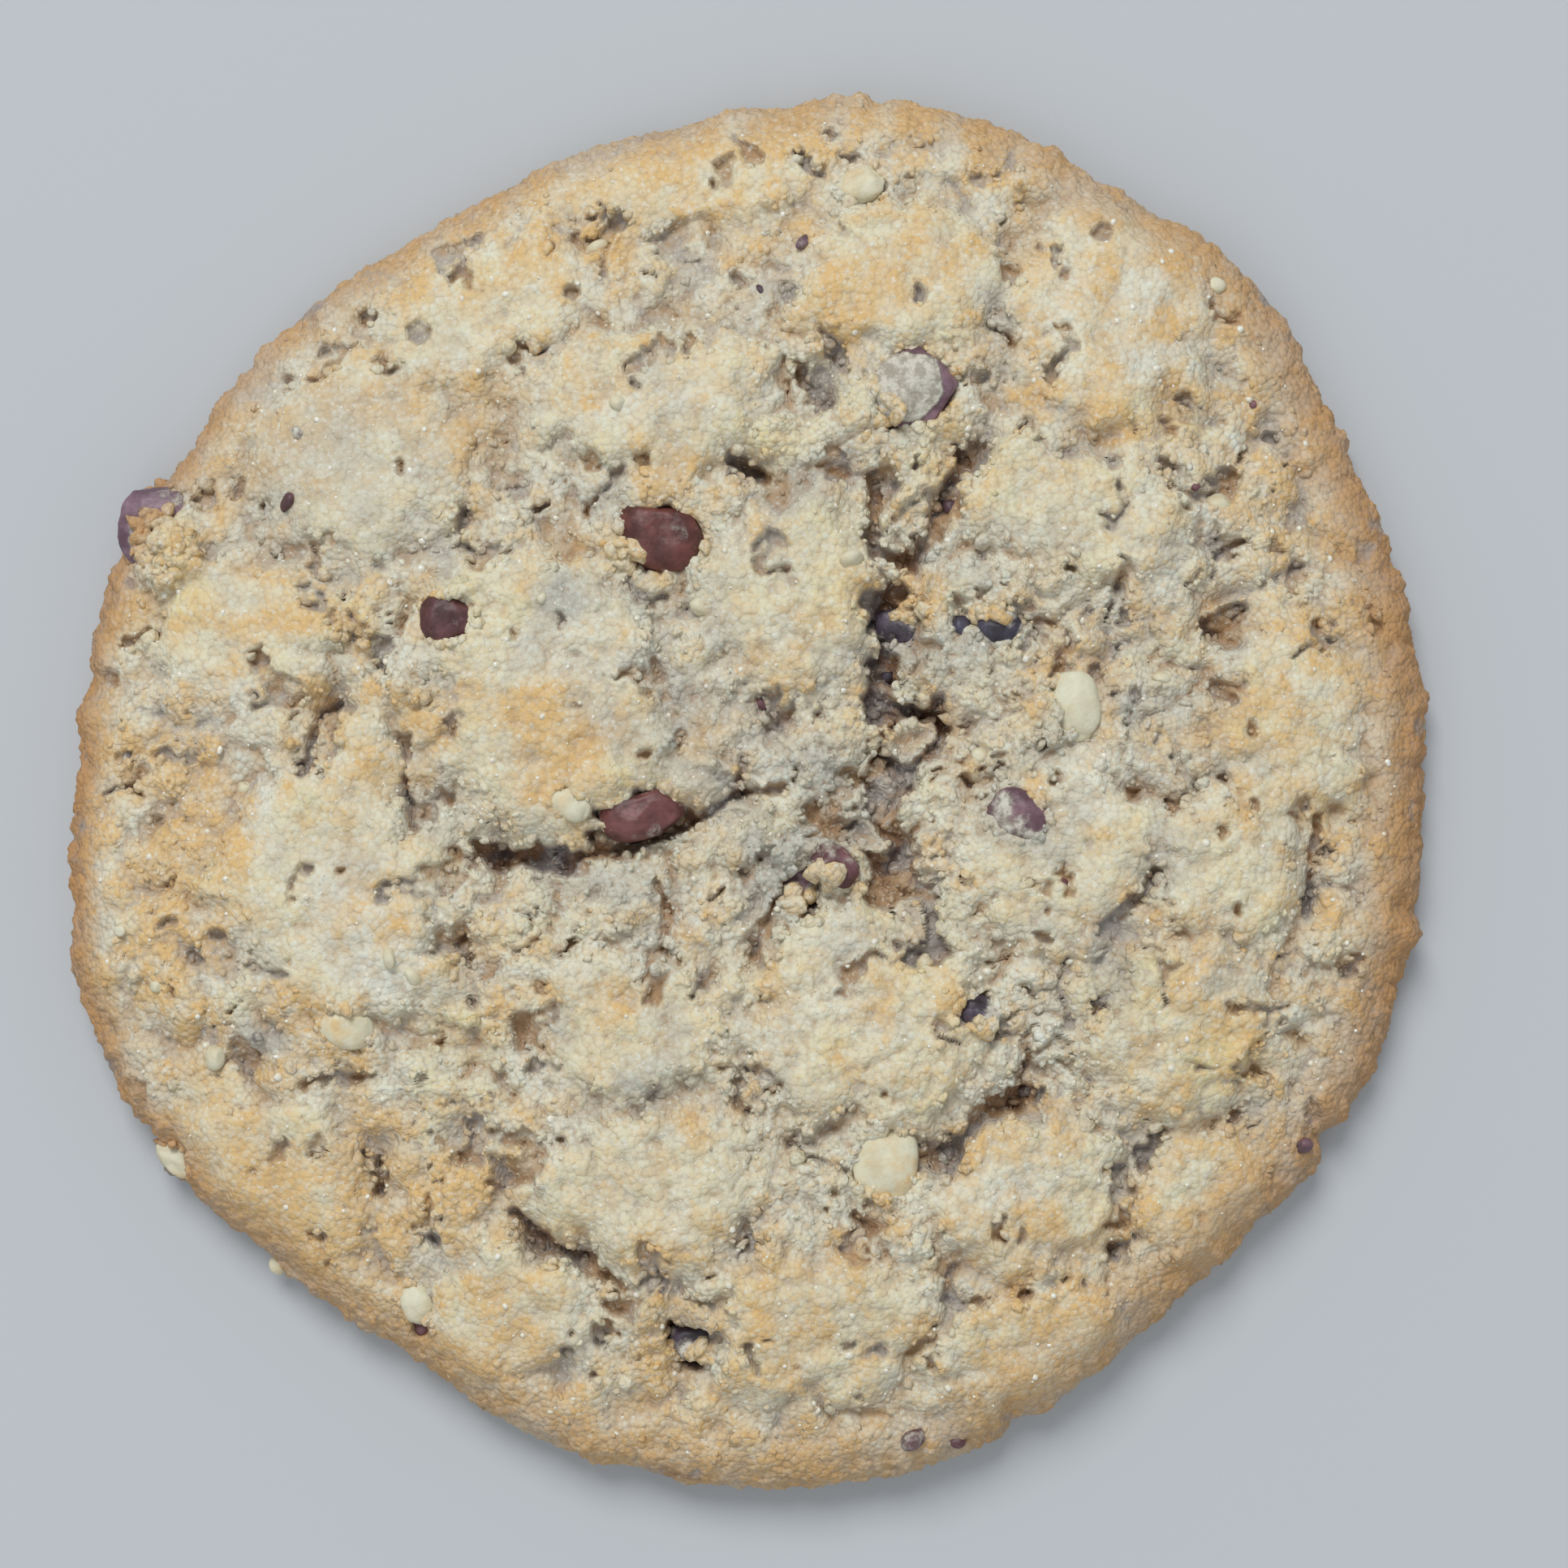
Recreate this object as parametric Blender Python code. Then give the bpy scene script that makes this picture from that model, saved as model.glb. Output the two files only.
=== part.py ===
"""A large chocolate nut cookie: one baked dough body, with chips and nuts set in its top.

Metres, +Z up. The origin is the middle of the flat underside, which the cookie rests on.
The places and sizes below are in millimetres from that point, +X right and +Y away.
"""

import math

import bmesh
import bpy
import numpy as np
from mathutils import Matrix, Vector

MM = 0.001

# Rim radius in millimetres at every 15 degrees, counterclockwise from +X.
RIM_RADII = (
    52.0, 52.6, 53.0, 55.0, 54.3, 54.6,
    52.4, 50.5, 49.8, 50.2, 50.7, 51.8,
    51.7, 53.4, 53.1, 51.4, 50.9, 52.7,
    53.6, 54.0, 52.4, 51.3, 52.6, 52.3,
)
NIBBLE_DEPTH = 0.45
NIBBLE_PITCH = 4.2

# The section from the middle to the underside.
CROWN_HEIGHT = 11.4
EDGE_HEIGHT = 6.6
WIDEST_HEIGHT = 2.4
EDGE_RUN = 4.6
FOOT_RUN = 1.4
RISE_RUN = 13.0

# The grid that is rounded into the dough's top and side.
GRID_CELLS = 62
RIM_SHARE = 0.22
NARROWEST_CRACK = 1.0

# Islands of crust: x, y, half length along x, half length along y, turn in degrees, rise.
CRUST_PLATES = (
    (-14.8, 6.2, 8.6, 12.2, 14, 1.3),
    (2.6, 15.0, 7.2, 7.4, 0, 0.9),
    (11.8, 39.0, 8.2, 5.8, 8, 1.2),
    (-7.2, 29.0, 9.4, 5.8, -12, 0.9),
    (28.0, 36.4, 7.6, 8.4, 0, 0.8),
    (8.6, -16.6, 8.4, 9.2, 20, 1.2),
    (-8.4, -17.2, 8.2, 5.4, 0, 1.1),
    (21.8, -30.4, 7.6, 6.4, 25, 0.9),
    (34.2, -31.2, 4.6, 6.0, 30, 0.8),
    (-31.4, -7.2, 8.8, 9.4, 0, 1.0),
    (-20.2, 36.2, 8.0, 5.8, 30, 0.8),
    (-36.0, -28.6, 7.6, 5.8, -45, 0.6),
    (-8.2, -29.8, 9.0, 6.0, 0, 0.8),
    (25.0, 20.8, 8.0, 5.4, 0, 0.8),
    (23.4, -5.4, 7.4, 7.6, 0, 0.7),
    (36.0, -6.4, 5.4, 6.4, 0, 0.8),
    (-30.0, 25.4, 7.8, 7.4, 0, 0.8),
    (-18.6, -39.4, 6.2, 5.2, -20, 0.8),
    (-38.4, 12.0, 7.6, 5.4, 0, 0.7),
    (41.4, 4.4, 5.2, 9.0, 0, 0.6),
    (5.6, -40.6, 7.6, 6.2, 0, 0.8),
    (20.6, -42.6, 7.8, 4.4, 28, 0.7),
    (-4.4, 45.8, 11.0, 3.8, 4, 0.6),
    (32.4, -18.4, 6.0, 6.8, 0, 0.7),
    (-28.6, 2.6, 4.2, 3.6, 0, 0.7),
    (-3.2, 0.8, 3.2, 3.2, 0, 0.9),
    (-22.6, 6.2, 3.4, 2.6, 0, 0.9),
    (-26.2, -13.4, 3.6, 2.8, 0, 0.9),
)

# Cracks between them: half width, depth, then the points that each one runs through.
CRACKS = (
    (1.3, 3.0, ((16.4, 25.6), (15.0, 20.8), (12.4, 17.0))),
    (1.2, 2.8, ((9.6, 23.2), (9.4, 18.0), (12.6, 16.8))),
    (1.5, 3.6, ((10.6, 14.0), (10.4, 9.2), (9.8, 6.8), (13.6, 4.4))),
    (1.6, 2.6, ((13.6, 4.4), (10.2, 1.2), (8.8, -3.4), (12.0, -8.0), (13.2, -11.8))),
    (1.3, 3.4, ((-20.2, -4.6), (-15.6, -5.2), (-11.6, -4.6), (-7.0, -3.0), (-4.4, -2.4))),
    (0.9, 2.2, ((-4.4, -2.4), (-1.0, -0.4), (2.6, 0.2))),
    (1.1, 2.6, ((4.6, -6.6), (2.0, -8.4), (0.9, -12.4))),
    (1.0, 2.4, ((-33.4, 2.0), (-32.2, 4.8), (-30.6, 6.6))),
    (1.0, 2.4, ((-25.2, 4.4), (-25.8, 1.2), (-24.6, -3.0))),
    (1.2, 2.8, ((21.6, -22.4), (17.8, -24.6), (14.4, -28.0))),
    (1.0, 2.8, ((31.4, -25.6), (29.8, -28.8))),
    (1.4, 2.4, ((-17.4, -31.6), (-14.4, -34.4), (-9.2, -37.4))),
    (1.0, 2.6, ((-27.6, -27.4), (-27.6, -30.4))),
    (1.5, 3.0, ((-5.4, -40.4), (-4.2, -43.6))),
    (1.3, 2.4, ((36.8, 13.6), (34.6, 12.4))),
    (1.3, 2.0, ((30.4, -6.8), (26.6, -10.4))),
    (1.1, 2.2, ((43.0, -2.2), (42.0, -9.4))),
    (1.2, 2.6, ((4.0, 31.0), (5.6, 29.2))),
    (1.2, 2.8, ((-0.8, 24.6), (1.0, 23.6))),
    (1.0, 2.4, ((-21.4, -11.2), (-21.0, -13.0))),
)

# Chocolate: x, y, length, width, height, turn in degrees, middle above the dough's surface.
CHOCOLATE_CHIPS = (
    (-6.5, 19.0, 6.4, 5.2, 4.0, -12, -0.9),
    (12.5, 29.9, 6.2, 6.0, 4.0, 20, -0.9),
    (-7.9, -1.8, 6.0, 3.6, 3.4, 14, -0.2),
    (20.1, -1.8, 4.6, 3.6, 2.8, -25, -0.8),
    (-44.9, 20.0, 6.2, 6.4, 3.4, 24, -1.0),
    (6.6, -5.6, 3.6, 2.6, 2.4, -40, 0.2),
    (3.8, -7.2, 2.8, 3.0, 2.4, 30, 0.2),
    (-22.2, 12.8, 4.2, 3.8, 2.8, 0, -1.0),
    (11.6, 12.2, 4.0, 2.8, 2.6, -10, 0.3),
    (18.8, 12.4, 3.4, 2.8, 2.4, -20, -0.6),
    (17.2, -16.7, 3.4, 2.6, 2.4, -30, -0.6),
    (-4.0, -41.6, 4.0, 3.2, 2.6, 15, 0.2),
)

# Pieces of nut, in the same order of numbers.
NUT_PIECES = (
    (24.6, 6.3, 3.4, 5.0, 2.0, 12, -0.5),
    (10.3, -27.8, 4.8, 5.8, 2.4, -8, -0.6),
    (-13.1, -1.1, 3.0, 2.2, 1.8, -30, -0.4),
    (-43.8, -28.3, 3.4, 2.0, 2.0, -45, -0.7),
    (-25.1, -38.9, 2.4, 3.0, 2.0, 20, -0.4),
    (-30.0, -17.8, 3.8, 3.4, 2.4, 0, -0.5),
    (8.6, 45.6, 3.8, 2.6, 2.0, 20, -0.5),
)

SOCKET_GAP = 0.35
CHIP_DENT = 0.10
NUT_DENT = 0.06
ROUND_PIECE_LENGTH = 5.5

NOISE_TABLE = 64


def noise(x, y, pitch, seed):
    """Smooth seeded noise from about -1 to 1, with bumps about one pitch apart."""
    turns = np.random.default_rng(seed).uniform(0, math.tau, (NOISE_TABLE, NOISE_TABLE))
    lean_x, lean_y = np.cos(turns), np.sin(turns)
    column, row = np.floor(x / pitch).astype(int), np.floor(y / pitch).astype(int)
    across, along = x / pitch - column, y / pitch - row

    def corner(right, up):
        at = (column + right) % NOISE_TABLE, (row + up) % NOISE_TABLE
        return lean_x[at] * (across - right) + lean_y[at] * (along - up)

    ease_x, ease_y = smooth(across), smooth(along)
    low = corner(0, 0) + ease_x * (corner(1, 0) - corner(0, 0))
    high = corner(0, 1) + ease_x * (corner(1, 1) - corner(0, 1))
    return 1.6 * (low + ease_y * (high - low))


def smooth(share):
    """An S curve from 0 to 1."""
    share = np.clip(share, 0.0, 1.0)
    return share * share * (3 - 2 * share)


def plain_rim_radius(angle):
    """The rim's radius before its nibbles: a smooth closed curve through RIM_RADII."""
    radii = np.array(RIM_RADII)
    place = np.asarray(angle) % math.tau / math.tau * len(radii)
    before = np.floor(place).astype(int)
    share = place - before
    a, b, c, d = (radii[(before + k) % len(radii)] for k in (-1, 0, 1, 2))
    bend = (2 * a - 5 * b + 4 * c - d) + share * (3 * b - a - 3 * c + d)
    return b + 0.5 * share * (c - a + share * bend)


def rim_radius(angle):
    radius = plain_rim_radius(angle)
    x, y = radius * np.cos(angle), radius * np.sin(angle)
    return radius + NIBBLE_DEPTH * noise(x, y, NIBBLE_PITCH, 3)


def outline_middle():
    """The middle of the outline's bounding box, which becomes the origin."""
    angle = np.linspace(0, math.tau, 1440, endpoint=False)
    radius = rim_radius(angle)
    x, y = radius * np.cos(angle), radius * np.sin(angle)
    return (x.min() + x.max()) / 2, (y.min() + y.max()) / 2


def crust_height(x, y):
    """How far the islands of crust stand above the crumb between them."""
    height = np.zeros_like(x)
    for middle_x, middle_y, half_x, half_y, turn, rise in CRUST_PLATES:
        cos, sin = math.cos(math.radians(turn)), math.sin(math.radians(turn))
        dx, dy = x - middle_x, y - middle_y
        reach = np.hypot((dx * cos + dy * sin) / half_x, (dy * cos - dx * sin) / half_y)
        height = np.maximum(height, rise * smooth((1.12 - reach) / 0.28))
    return height


def crack_depth(x, y):
    """How deep the cracks cut, with V-shaped sides."""
    depth = np.zeros_like(x)
    for half_width, deepest, points in CRACKS:
        half_width = max(half_width, NARROWEST_CRACK)
        for (x0, y0), (x1, y1) in zip(points, points[1:]):
            run = (x1 - x0) ** 2 + (y1 - y0) ** 2
            share = np.clip(((x - x0) * (x1 - x0) + (y - y0) * (y1 - y0)) / run, 0, 1)
            away = np.hypot(x - x0 - share * (x1 - x0), y - y0 - share * (y1 - y0))
            depth = np.maximum(depth, deepest * smooth(1.25 - away / (1.7 * half_width)))
    return depth


def relief(x, y):
    """The top's height above the plain dome."""
    warped_x = x + 0.9 * noise(x, y, 3.4, 11)
    warped_y = y + 0.9 * noise(x, y, 3.4, 12)
    swell = 0.7 * noise(x, y, 17.0, 21) + 0.4 * noise(x, y, 7.5, 22)
    crumb = 0.30 * noise(x, y, 3.0, 23)
    return swell + crumb + crust_height(warped_x, warped_y) - crack_depth(warped_x, warped_y)


def dome_rise(inward):
    """How far the plain dome stands above its edge, this far in from the rim."""
    return (CROWN_HEIGHT - EDGE_HEIGHT) * (1 - np.exp(-((inward / RISE_RUN) ** 2)))


def top_height(x, y):
    """The height of the dough's top at a point well inside the rim."""
    inward = rim_radius(np.arctan2(y, x)) - np.hypot(x, y)
    lean = np.clip(1 - inward / EDGE_RUN, 0, 1)
    edge = WIDEST_HEIGHT + (EDGE_HEIGHT - WIDEST_HEIGHT) * np.sqrt(1 - lean**2)
    return edge + dome_rise(inward) + relief(x, y) * smooth(inward / EDGE_RUN)


def disc_of_square(u, v):
    """(radius, angle) in the unit disc of a point of the square from -1 to 1, areas kept."""
    wide = np.abs(u) >= np.abs(v)
    longer = np.where(wide, u, v)
    safe = np.where(np.abs(longer) < 1e-9, 1.0, longer)
    slant = np.where(wide, v, u) / safe * math.pi / 4
    angle = np.where(wide, slant, math.pi / 2 - slant)
    return np.abs(longer), np.where(longer < 0, angle + math.pi, angle)


def dough_points(u, v):
    """Rounds the flat grid over the top, the shoulder and the foot of the rim."""
    reach, angle = disc_of_square(u, v)
    rim = rim_radius(angle)
    on_side = np.clip((reach - 1 + RIM_SHARE) / RIM_SHARE, 0, 1)
    shoulder = np.clip(on_side / 0.68, 0, 1) * math.pi / 2
    foot = np.clip((on_side - 0.68) / 0.32, 0, 1) * math.pi / 2
    inward = np.where(
        on_side > 0.68,
        FOOT_RUN * (1 - np.cos(foot)),
        EDGE_RUN * (1 - np.sin(shoulder)),
    )
    inner = (rim - EDGE_RUN) * np.clip(reach / (1 - RIM_SHARE), 0, 1)
    radius = np.where(on_side > 0, rim - inward, inner)
    x, y = radius * np.cos(angle), radius * np.sin(angle)
    upper = WIDEST_HEIGHT + (EDGE_HEIGHT - WIDEST_HEIGHT) * np.cos(shoulder)
    z = np.where(on_side > 0.68, WIDEST_HEIGHT * (1 - np.sin(foot)), upper)
    rise = np.where(on_side > 0.68, 0.0, dome_rise(rim - radius))
    fade = np.where(on_side > 0.68, 0.0, smooth((rim - radius) / EDGE_RUN))
    return x, y, z + rise + fade * relief(x, y)


def simple_material(name, colour, roughness):
    material = bpy.data.materials.new(name)
    material.use_nodes = True
    surface = material.node_tree.nodes["Principled BSDF"]
    surface.inputs["Base Color"].default_value = (*colour, 1.0)
    surface.inputs["Roughness"].default_value = roughness
    surface.inputs["Metallic"].default_value = 0.0
    return material


def new_collection(name):
    collection = bpy.data.collections.new(name)
    bpy.context.scene.collection.children.link(collection)
    return collection


def object_of(bm, name, material, collection):
    mesh = bpy.data.meshes.new(name)
    bm.to_mesh(mesh)
    bm.free()
    mesh.materials.append(material)
    mesh.shade_smooth()
    thing = bpy.data.objects.new(name, mesh)
    collection.objects.link(thing)
    return thing


def make_dough(middle, material, collection):
    """The dough body: a grid rounded over the top and side, closed by one flat underside."""
    bm = bmesh.new()
    bmesh.ops.create_grid(bm, x_segments=GRID_CELLS, y_segments=GRID_CELLS, size=1.0)
    flat = np.array([vert.co[:2] for vert in bm.verts])
    x, y, z = dough_points(flat[:, 0], flat[:, 1])
    for vert, place in zip(bm.verts, np.stack((x - middle[0], y - middle[1], z), axis=1)):
        vert.co = Vector(place) * MM
    border = [edge for edge in bm.edges if edge.is_boundary]
    bmesh.ops.triangulate(bm, faces=bm.faces, quad_method="SHORT_EDGE")
    bmesh.ops.contextual_create(bm, geom=border)
    bmesh.ops.recalc_face_normals(bm, faces=bm.faces)
    return object_of(bm, "dough", material, collection)


def set_piece(name, row, middle, dent, seed, material, collection, cutters):
    """One chip or piece of nut, and the slightly larger cutter of its socket."""
    x, y, length, width, height, turn, lift = row
    level = float(top_height(np.array([x]), np.array([y]))[0]) + lift
    place = Matrix.Translation(Vector((x - middle[0], y - middle[1], level)) * MM)
    pose = place @ Matrix.Rotation(math.radians(turn), 4, "Z")
    fineness = 3 if length > ROUND_PIECE_LENGTH else 2
    made = []
    for gap, group in ((0.0, collection), (SOCKET_GAP, cutters)):
        bm = bmesh.new()
        bmesh.ops.create_icosphere(bm, subdivisions=fineness, radius=1.0)
        for vert in bm.verts:
            ball = np.array(vert.co)
            uneven = 1 + dent * noise(ball[0] + 2 * ball[2], ball[1] - ball[2], 0.8, seed)
            halves = np.array((length, width, height)) / 2 + gap
            vert.co = Vector(ball * uneven * halves * MM)
        thing = object_of(bm, name if not gap else f"{name}_socket", material, group)
        thing.matrix_world = pose
        made.append(thing)
    made[1].hide_render = True
    made[1].display_type = "WIRE"
    return made[0]


def cut_sockets(dough, cutters):
    cut = dough.modifiers.new("Sockets", "BOOLEAN")
    cut.operation = "DIFFERENCE"
    cut.operand_type = "COLLECTION"
    cut.collection = cutters
    cut.solver = "EXACT"


def main():
    for thing in list(bpy.data.objects):
        bpy.data.objects.remove(thing)
    cookie = new_collection("Chocolate nut cookie")
    cutters = new_collection("Sockets")
    cutters.hide_render = True
    baked = simple_material("baked_dough", (0.62, 0.47, 0.26), 0.85)
    chocolate = simple_material("chocolate", (0.10, 0.035, 0.025), 0.4)
    nut = simple_material("nut", (0.72, 0.66, 0.42), 0.55)
    middle = outline_middle()
    dough = make_dough(middle, baked, cookie)
    for number, row in enumerate(CHOCOLATE_CHIPS, 1):
        name = f"chocolate_chip_{number:02d}"
        set_piece(name, row, middle, CHIP_DENT, number, chocolate, cookie, cutters)
    for number, row in enumerate(NUT_PIECES, 1):
        name = f"nut_piece_{number:02d}"
        set_piece(name, row, middle, NUT_DENT, 40 + number, nut, cookie, cutters)
    cut_sockets(dough, cutters)


main()
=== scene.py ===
"""The looks of a large chocolate nut cookie: its craggy crust, crumb, chips, nuts and sugar.

Millimetres throughout the shapes, from the middle of the cookie's flat underside, as in the
part's own source. Everything becomes metres as it is written to a mesh.
"""

import math

import bmesh
import bpy
import numpy as np
from mathutils import Matrix, Vector


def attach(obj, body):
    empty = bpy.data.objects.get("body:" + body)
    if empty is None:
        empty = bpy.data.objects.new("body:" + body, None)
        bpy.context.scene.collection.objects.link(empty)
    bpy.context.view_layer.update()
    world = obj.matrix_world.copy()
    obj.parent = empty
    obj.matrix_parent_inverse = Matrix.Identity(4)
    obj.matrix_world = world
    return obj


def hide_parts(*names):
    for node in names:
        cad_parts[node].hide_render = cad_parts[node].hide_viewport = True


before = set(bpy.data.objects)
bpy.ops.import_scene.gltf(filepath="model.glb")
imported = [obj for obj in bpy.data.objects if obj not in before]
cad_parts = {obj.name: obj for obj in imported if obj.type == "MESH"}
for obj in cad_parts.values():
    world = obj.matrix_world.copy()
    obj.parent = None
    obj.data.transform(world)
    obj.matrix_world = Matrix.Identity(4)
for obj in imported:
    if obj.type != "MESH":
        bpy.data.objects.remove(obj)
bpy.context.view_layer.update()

MM = 0.001

# Rim radius in millimetres at every 15 degrees, counterclockwise from +X.
RIM_RADII = (
    52.0, 52.6, 53.0, 55.0, 54.3, 54.6,
    52.4, 50.5, 49.8, 50.2, 50.7, 51.8,
    51.7, 53.4, 53.1, 51.4, 50.9, 52.7,
    53.6, 54.0, 52.4, 51.3, 52.6, 52.3,
)
NIBBLE_DEPTH = 0.45
NIBBLE_PITCH = 4.2

# The section from the middle to the underside, and the share of the grid on the rim's side.
CROWN_HEIGHT = 11.4
EDGE_HEIGHT = 6.6
WIDEST_HEIGHT = 2.4
EDGE_RUN = 4.6
FOOT_RUN = 1.4
RISE_RUN = 13.0
RIM_SHARE = 0.22

# Islands of crust: x, y, half lengths, turn in degrees, rise.
CRUST_PLATES = (
    (-14.8, 6.2, 8.6, 12.2, 14, 1.3), (2.6, 15, 7.2, 7.4, 0, 0.9), (11.8, 39, 8.2, 5.8, 8, 1.2),
    (-7.2, 29, 9.4, 5.8, -12, 0.9), (28, 36.4, 7.6, 8.4, 0, 0.8), (8.6, -16.6, 8.4, 9.2, 20, 1.2),
    (-8.4, -17.2, 8.2, 5.4, 0, 1.1), (21.8, -30.4, 7.6, 6.4, 25, 0.9),
    (34.2, -31.2, 4.6, 6, 30, 0.8), (-31.4, -7.2, 8.8, 9.4, 0, 1), (-20.2, 36.2, 8, 5.8, 30, 0.8),
    (-36, -28.6, 7.6, 5.8, -45, 0.6), (-8.2, -29.8, 9, 6, 0, 0.8), (25, 20.8, 8, 5.4, 0, 0.8),
    (23.4, -5.4, 7.4, 7.6, 0, 0.7), (36, -6.4, 5.4, 6.4, 0, 0.8), (-30, 25.4, 7.8, 7.4, 0, 0.8),
    (-18.6, -39.4, 6.2, 5.2, -20, 0.8), (-38.4, 12, 7.6, 5.4, 0, 0.7), (41.4, 4.4, 5.2, 9, 0, 0.6),
    (5.6, -40.6, 7.6, 6.2, 0, 0.8), (20.6, -42.6, 7.8, 4.4, 28, 0.7),
    (-4.4, 45.8, 11, 3.8, 4, 0.6), (32.4, -18.4, 6, 6.8, 0, 0.7), (-28.6, 2.6, 4.2, 3.6, 0, 0.7),
    (-3.2, 0.8, 3.2, 3.2, 0, 0.9), (-22.6, 6.2, 3.4, 2.6, 0, 0.9),
    (-26.2, -13.4, 3.6, 2.8, 0, 0.9),
)

# Cracks between them: half the gape, half the width that sinks, depth, the points in order.
CRACKS = (
    (0.9, 1.3, 3, ((16.4, 25.6), (15, 20.8), (12.4, 17))),
    (0.9, 1.2, 2.8, ((9.6, 23.2), (9.4, 18), (12.6, 16.8))),
    (1.6, 1.5, 3.6, ((10.6, 14), (10.4, 9.2), (9.8, 6.8), (13.6, 4.4))),
    (2.2, 1.6, 2.6, ((13.6, 4.4), (10.2, 1.2), (8.8, -3.4), (12, -8), (13.2, -11.8))),
    (1.2, 1.3, 3.4, ((-20.2, -4.6), (-15.6, -5.2), (-11.6, -4.6), (-7, -3), (-4.4, -2.4))),
    (0.6, 0.9, 2.2, ((-4.4, -2.4), (-1, -0.4), (2.6, 0.2))),
    (0.8, 1.1, 2.6, ((4.6, -6.6), (2, -8.4), (0.9, -12.4))),
    (0.35, 1, 2.4, ((-33.4, 2), (-32.2, 4.8), (-30.6, 6.6))),
    (0.35, 1, 2.4, ((-25.2, 4.4), (-25.8, 1.2), (-24.6, -3))),
    (0.75, 1.2, 2.8, ((21.6, -22.4), (17.8, -24.6), (14.4, -28))),
    (0.5, 1, 2.8, ((31.4, -25.6), (29.8, -28.8))),
    (0.6, 1.4, 2.4, ((-17.4, -31.6), (-14.4, -34.4), (-9.2, -37.4))),
    (0.5, 1, 2.6, ((-27.6, -27.4), (-27.6, -30.4))),
    (1.1, 1.5, 3, ((-5.4, -40.4), (-4.2, -43.6))),
    (1.1, 1.3, 2.4, ((36.8, 13.6), (34.6, 12.4))),
    (0.7, 1.3, 2, ((30.4, -6.8), (26.6, -10.4))),
    (0.45, 1.1, 2.2, ((43, -2.2), (42, -9.4))),
    (1, 1.2, 2.6, ((4, 31), (5.6, 29.2))),
    (0.9, 1.2, 2.8, ((-0.8, 24.6), (1, 23.6))),
    (0.6, 1, 2.4, ((-21.4, -11.2), (-21, -13))),
)

# Small pits with dark floors: x, y, half width, depth.
PITS = (
    (15.5, 21.1, 1.2, 2.2), (10.9, 23, 1, 1.8), (9.7, 21.2, 0.9, 1.6), (9.3, 17.7, 0.9, 2),
    (13, 17.4, 0.8, 1.8), (17, 25, 1.3, 1.6), (-10.1, 42.8, 0.9, 2.2), (-13.2, 37.6, 0.8, 1.4),
    (-0.5, 38.1, 0.7, 1.4), (3.1, 37.3, 0.8, 1.4), (12.9, 36.9, 0.6, 1.6), (19.5, 38.9, 1, 1.4),
    (5.2, 30.4, 1.4, 1.2), (-0.2, 24.4, 1, 2.4), (6.6, 25.2, 0.8, 1.4), (-11.2, 24.4, 0.8, 1.4),
    (27, 42, 0.9, 1.4), (20, 47.6, 0.7, 1.2), (-24.9, 34.4, 1.2, 1.2), (-29, 35.7, 0.8, 1.4),
    (-35, 31, 0.8, 1.2), (-36.6, 21.2, 0.9, 2.2), (-21.3, 20.4, 0.8, 1.4), (-22.3, 12.9, 1.3, 2.2),
    (-48.7, 8.5, 0.7, 1.8), (-46.9, 15.5, 0.8, 1.8), (-47.1, 2.6, 0.9, 1.4),
    (-33.2, 1.9, 0.8, 2.2), (-25.5, 4.1, 0.7, 1.6), (-23.8, -1.6, 0.9, 1.6),
    (-21.2, -11.7, 0.7, 1.8), (-20.2, -24.8, 0.8, 1.6), (-27.6, -28.6, 0.7, 2.4),
    (-23.4, -33.9, 0.8, 1.6), (-15.6, -33.6, 1.2, 1.6), (-24.9, -40.7, 0.9, 2),
    (-16.9, -18.4, 0.7, 1.4), (-15.9, -20.8, 0.7, 1.4), (-15.6, -14.6, 0.7, 1.4),
    (-13.9, -26.1, 0.4, 1.8), (-9.5, -37.1, 0.8, 1.4), (-6.8, -36.9, 0.8, 1.4),
    (-4.2, -40.9, 1.3, 2.2), (-4.6, -43.9, 0.8, 2), (-10.8, -40.9, 0.8, 1.4),
    (-13.6, -42.6, 0.8, 1.2), (2.9, -26.6, 0.6, 1.4), (6.6, -30.1, 0.8, 1.4),
    (7.6, -33.9, 0.8, 1.4), (0.4, -33.9, 0.7, 1.2), (8.6, -45.3, 0.6, 1.2), (3.9, -43.5, 0.8, 1.2),
    (10, -22.5, 0.4, 1.6), (14.3, -28.1, 1, 1.4), (17.8, -24.4, 1.1, 1.4), (21.3, -22.6, 1, 1.6),
    (18.2, -15.3, 1, 1.8), (30.1, -27.7, 0.8, 2.4), (21, -38.3, 0.8, 2.2), (36.9, -24.7, 0.7, 1.8),
    (38.2, -21, 0.8, 1.6), (31.4, -13.1, 0.8, 1.4), (35.5, 12.2, 1.6, 0.8), (29, 7, 0.8, 1.2),
    (26.1, 8.9, 0.7, 1.2), (27.4, -10.2, 1.5, 1.2), (22.6, -8.8, 0.6, 1.2), (31.8, 26.9, 0.6, 1.4),
    (39.9, 26.5, 0.6, 1.4), (27.4, 24.6, 0.8, 1.2), (1, -0.1, 0.9, 1.8), (2.8, -7.4, 0.8, 1.4),
    (-7.6, 2.7, 0.5, 1.4), (-5.2, 3.6, 0.5, 1.2),
)

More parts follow.
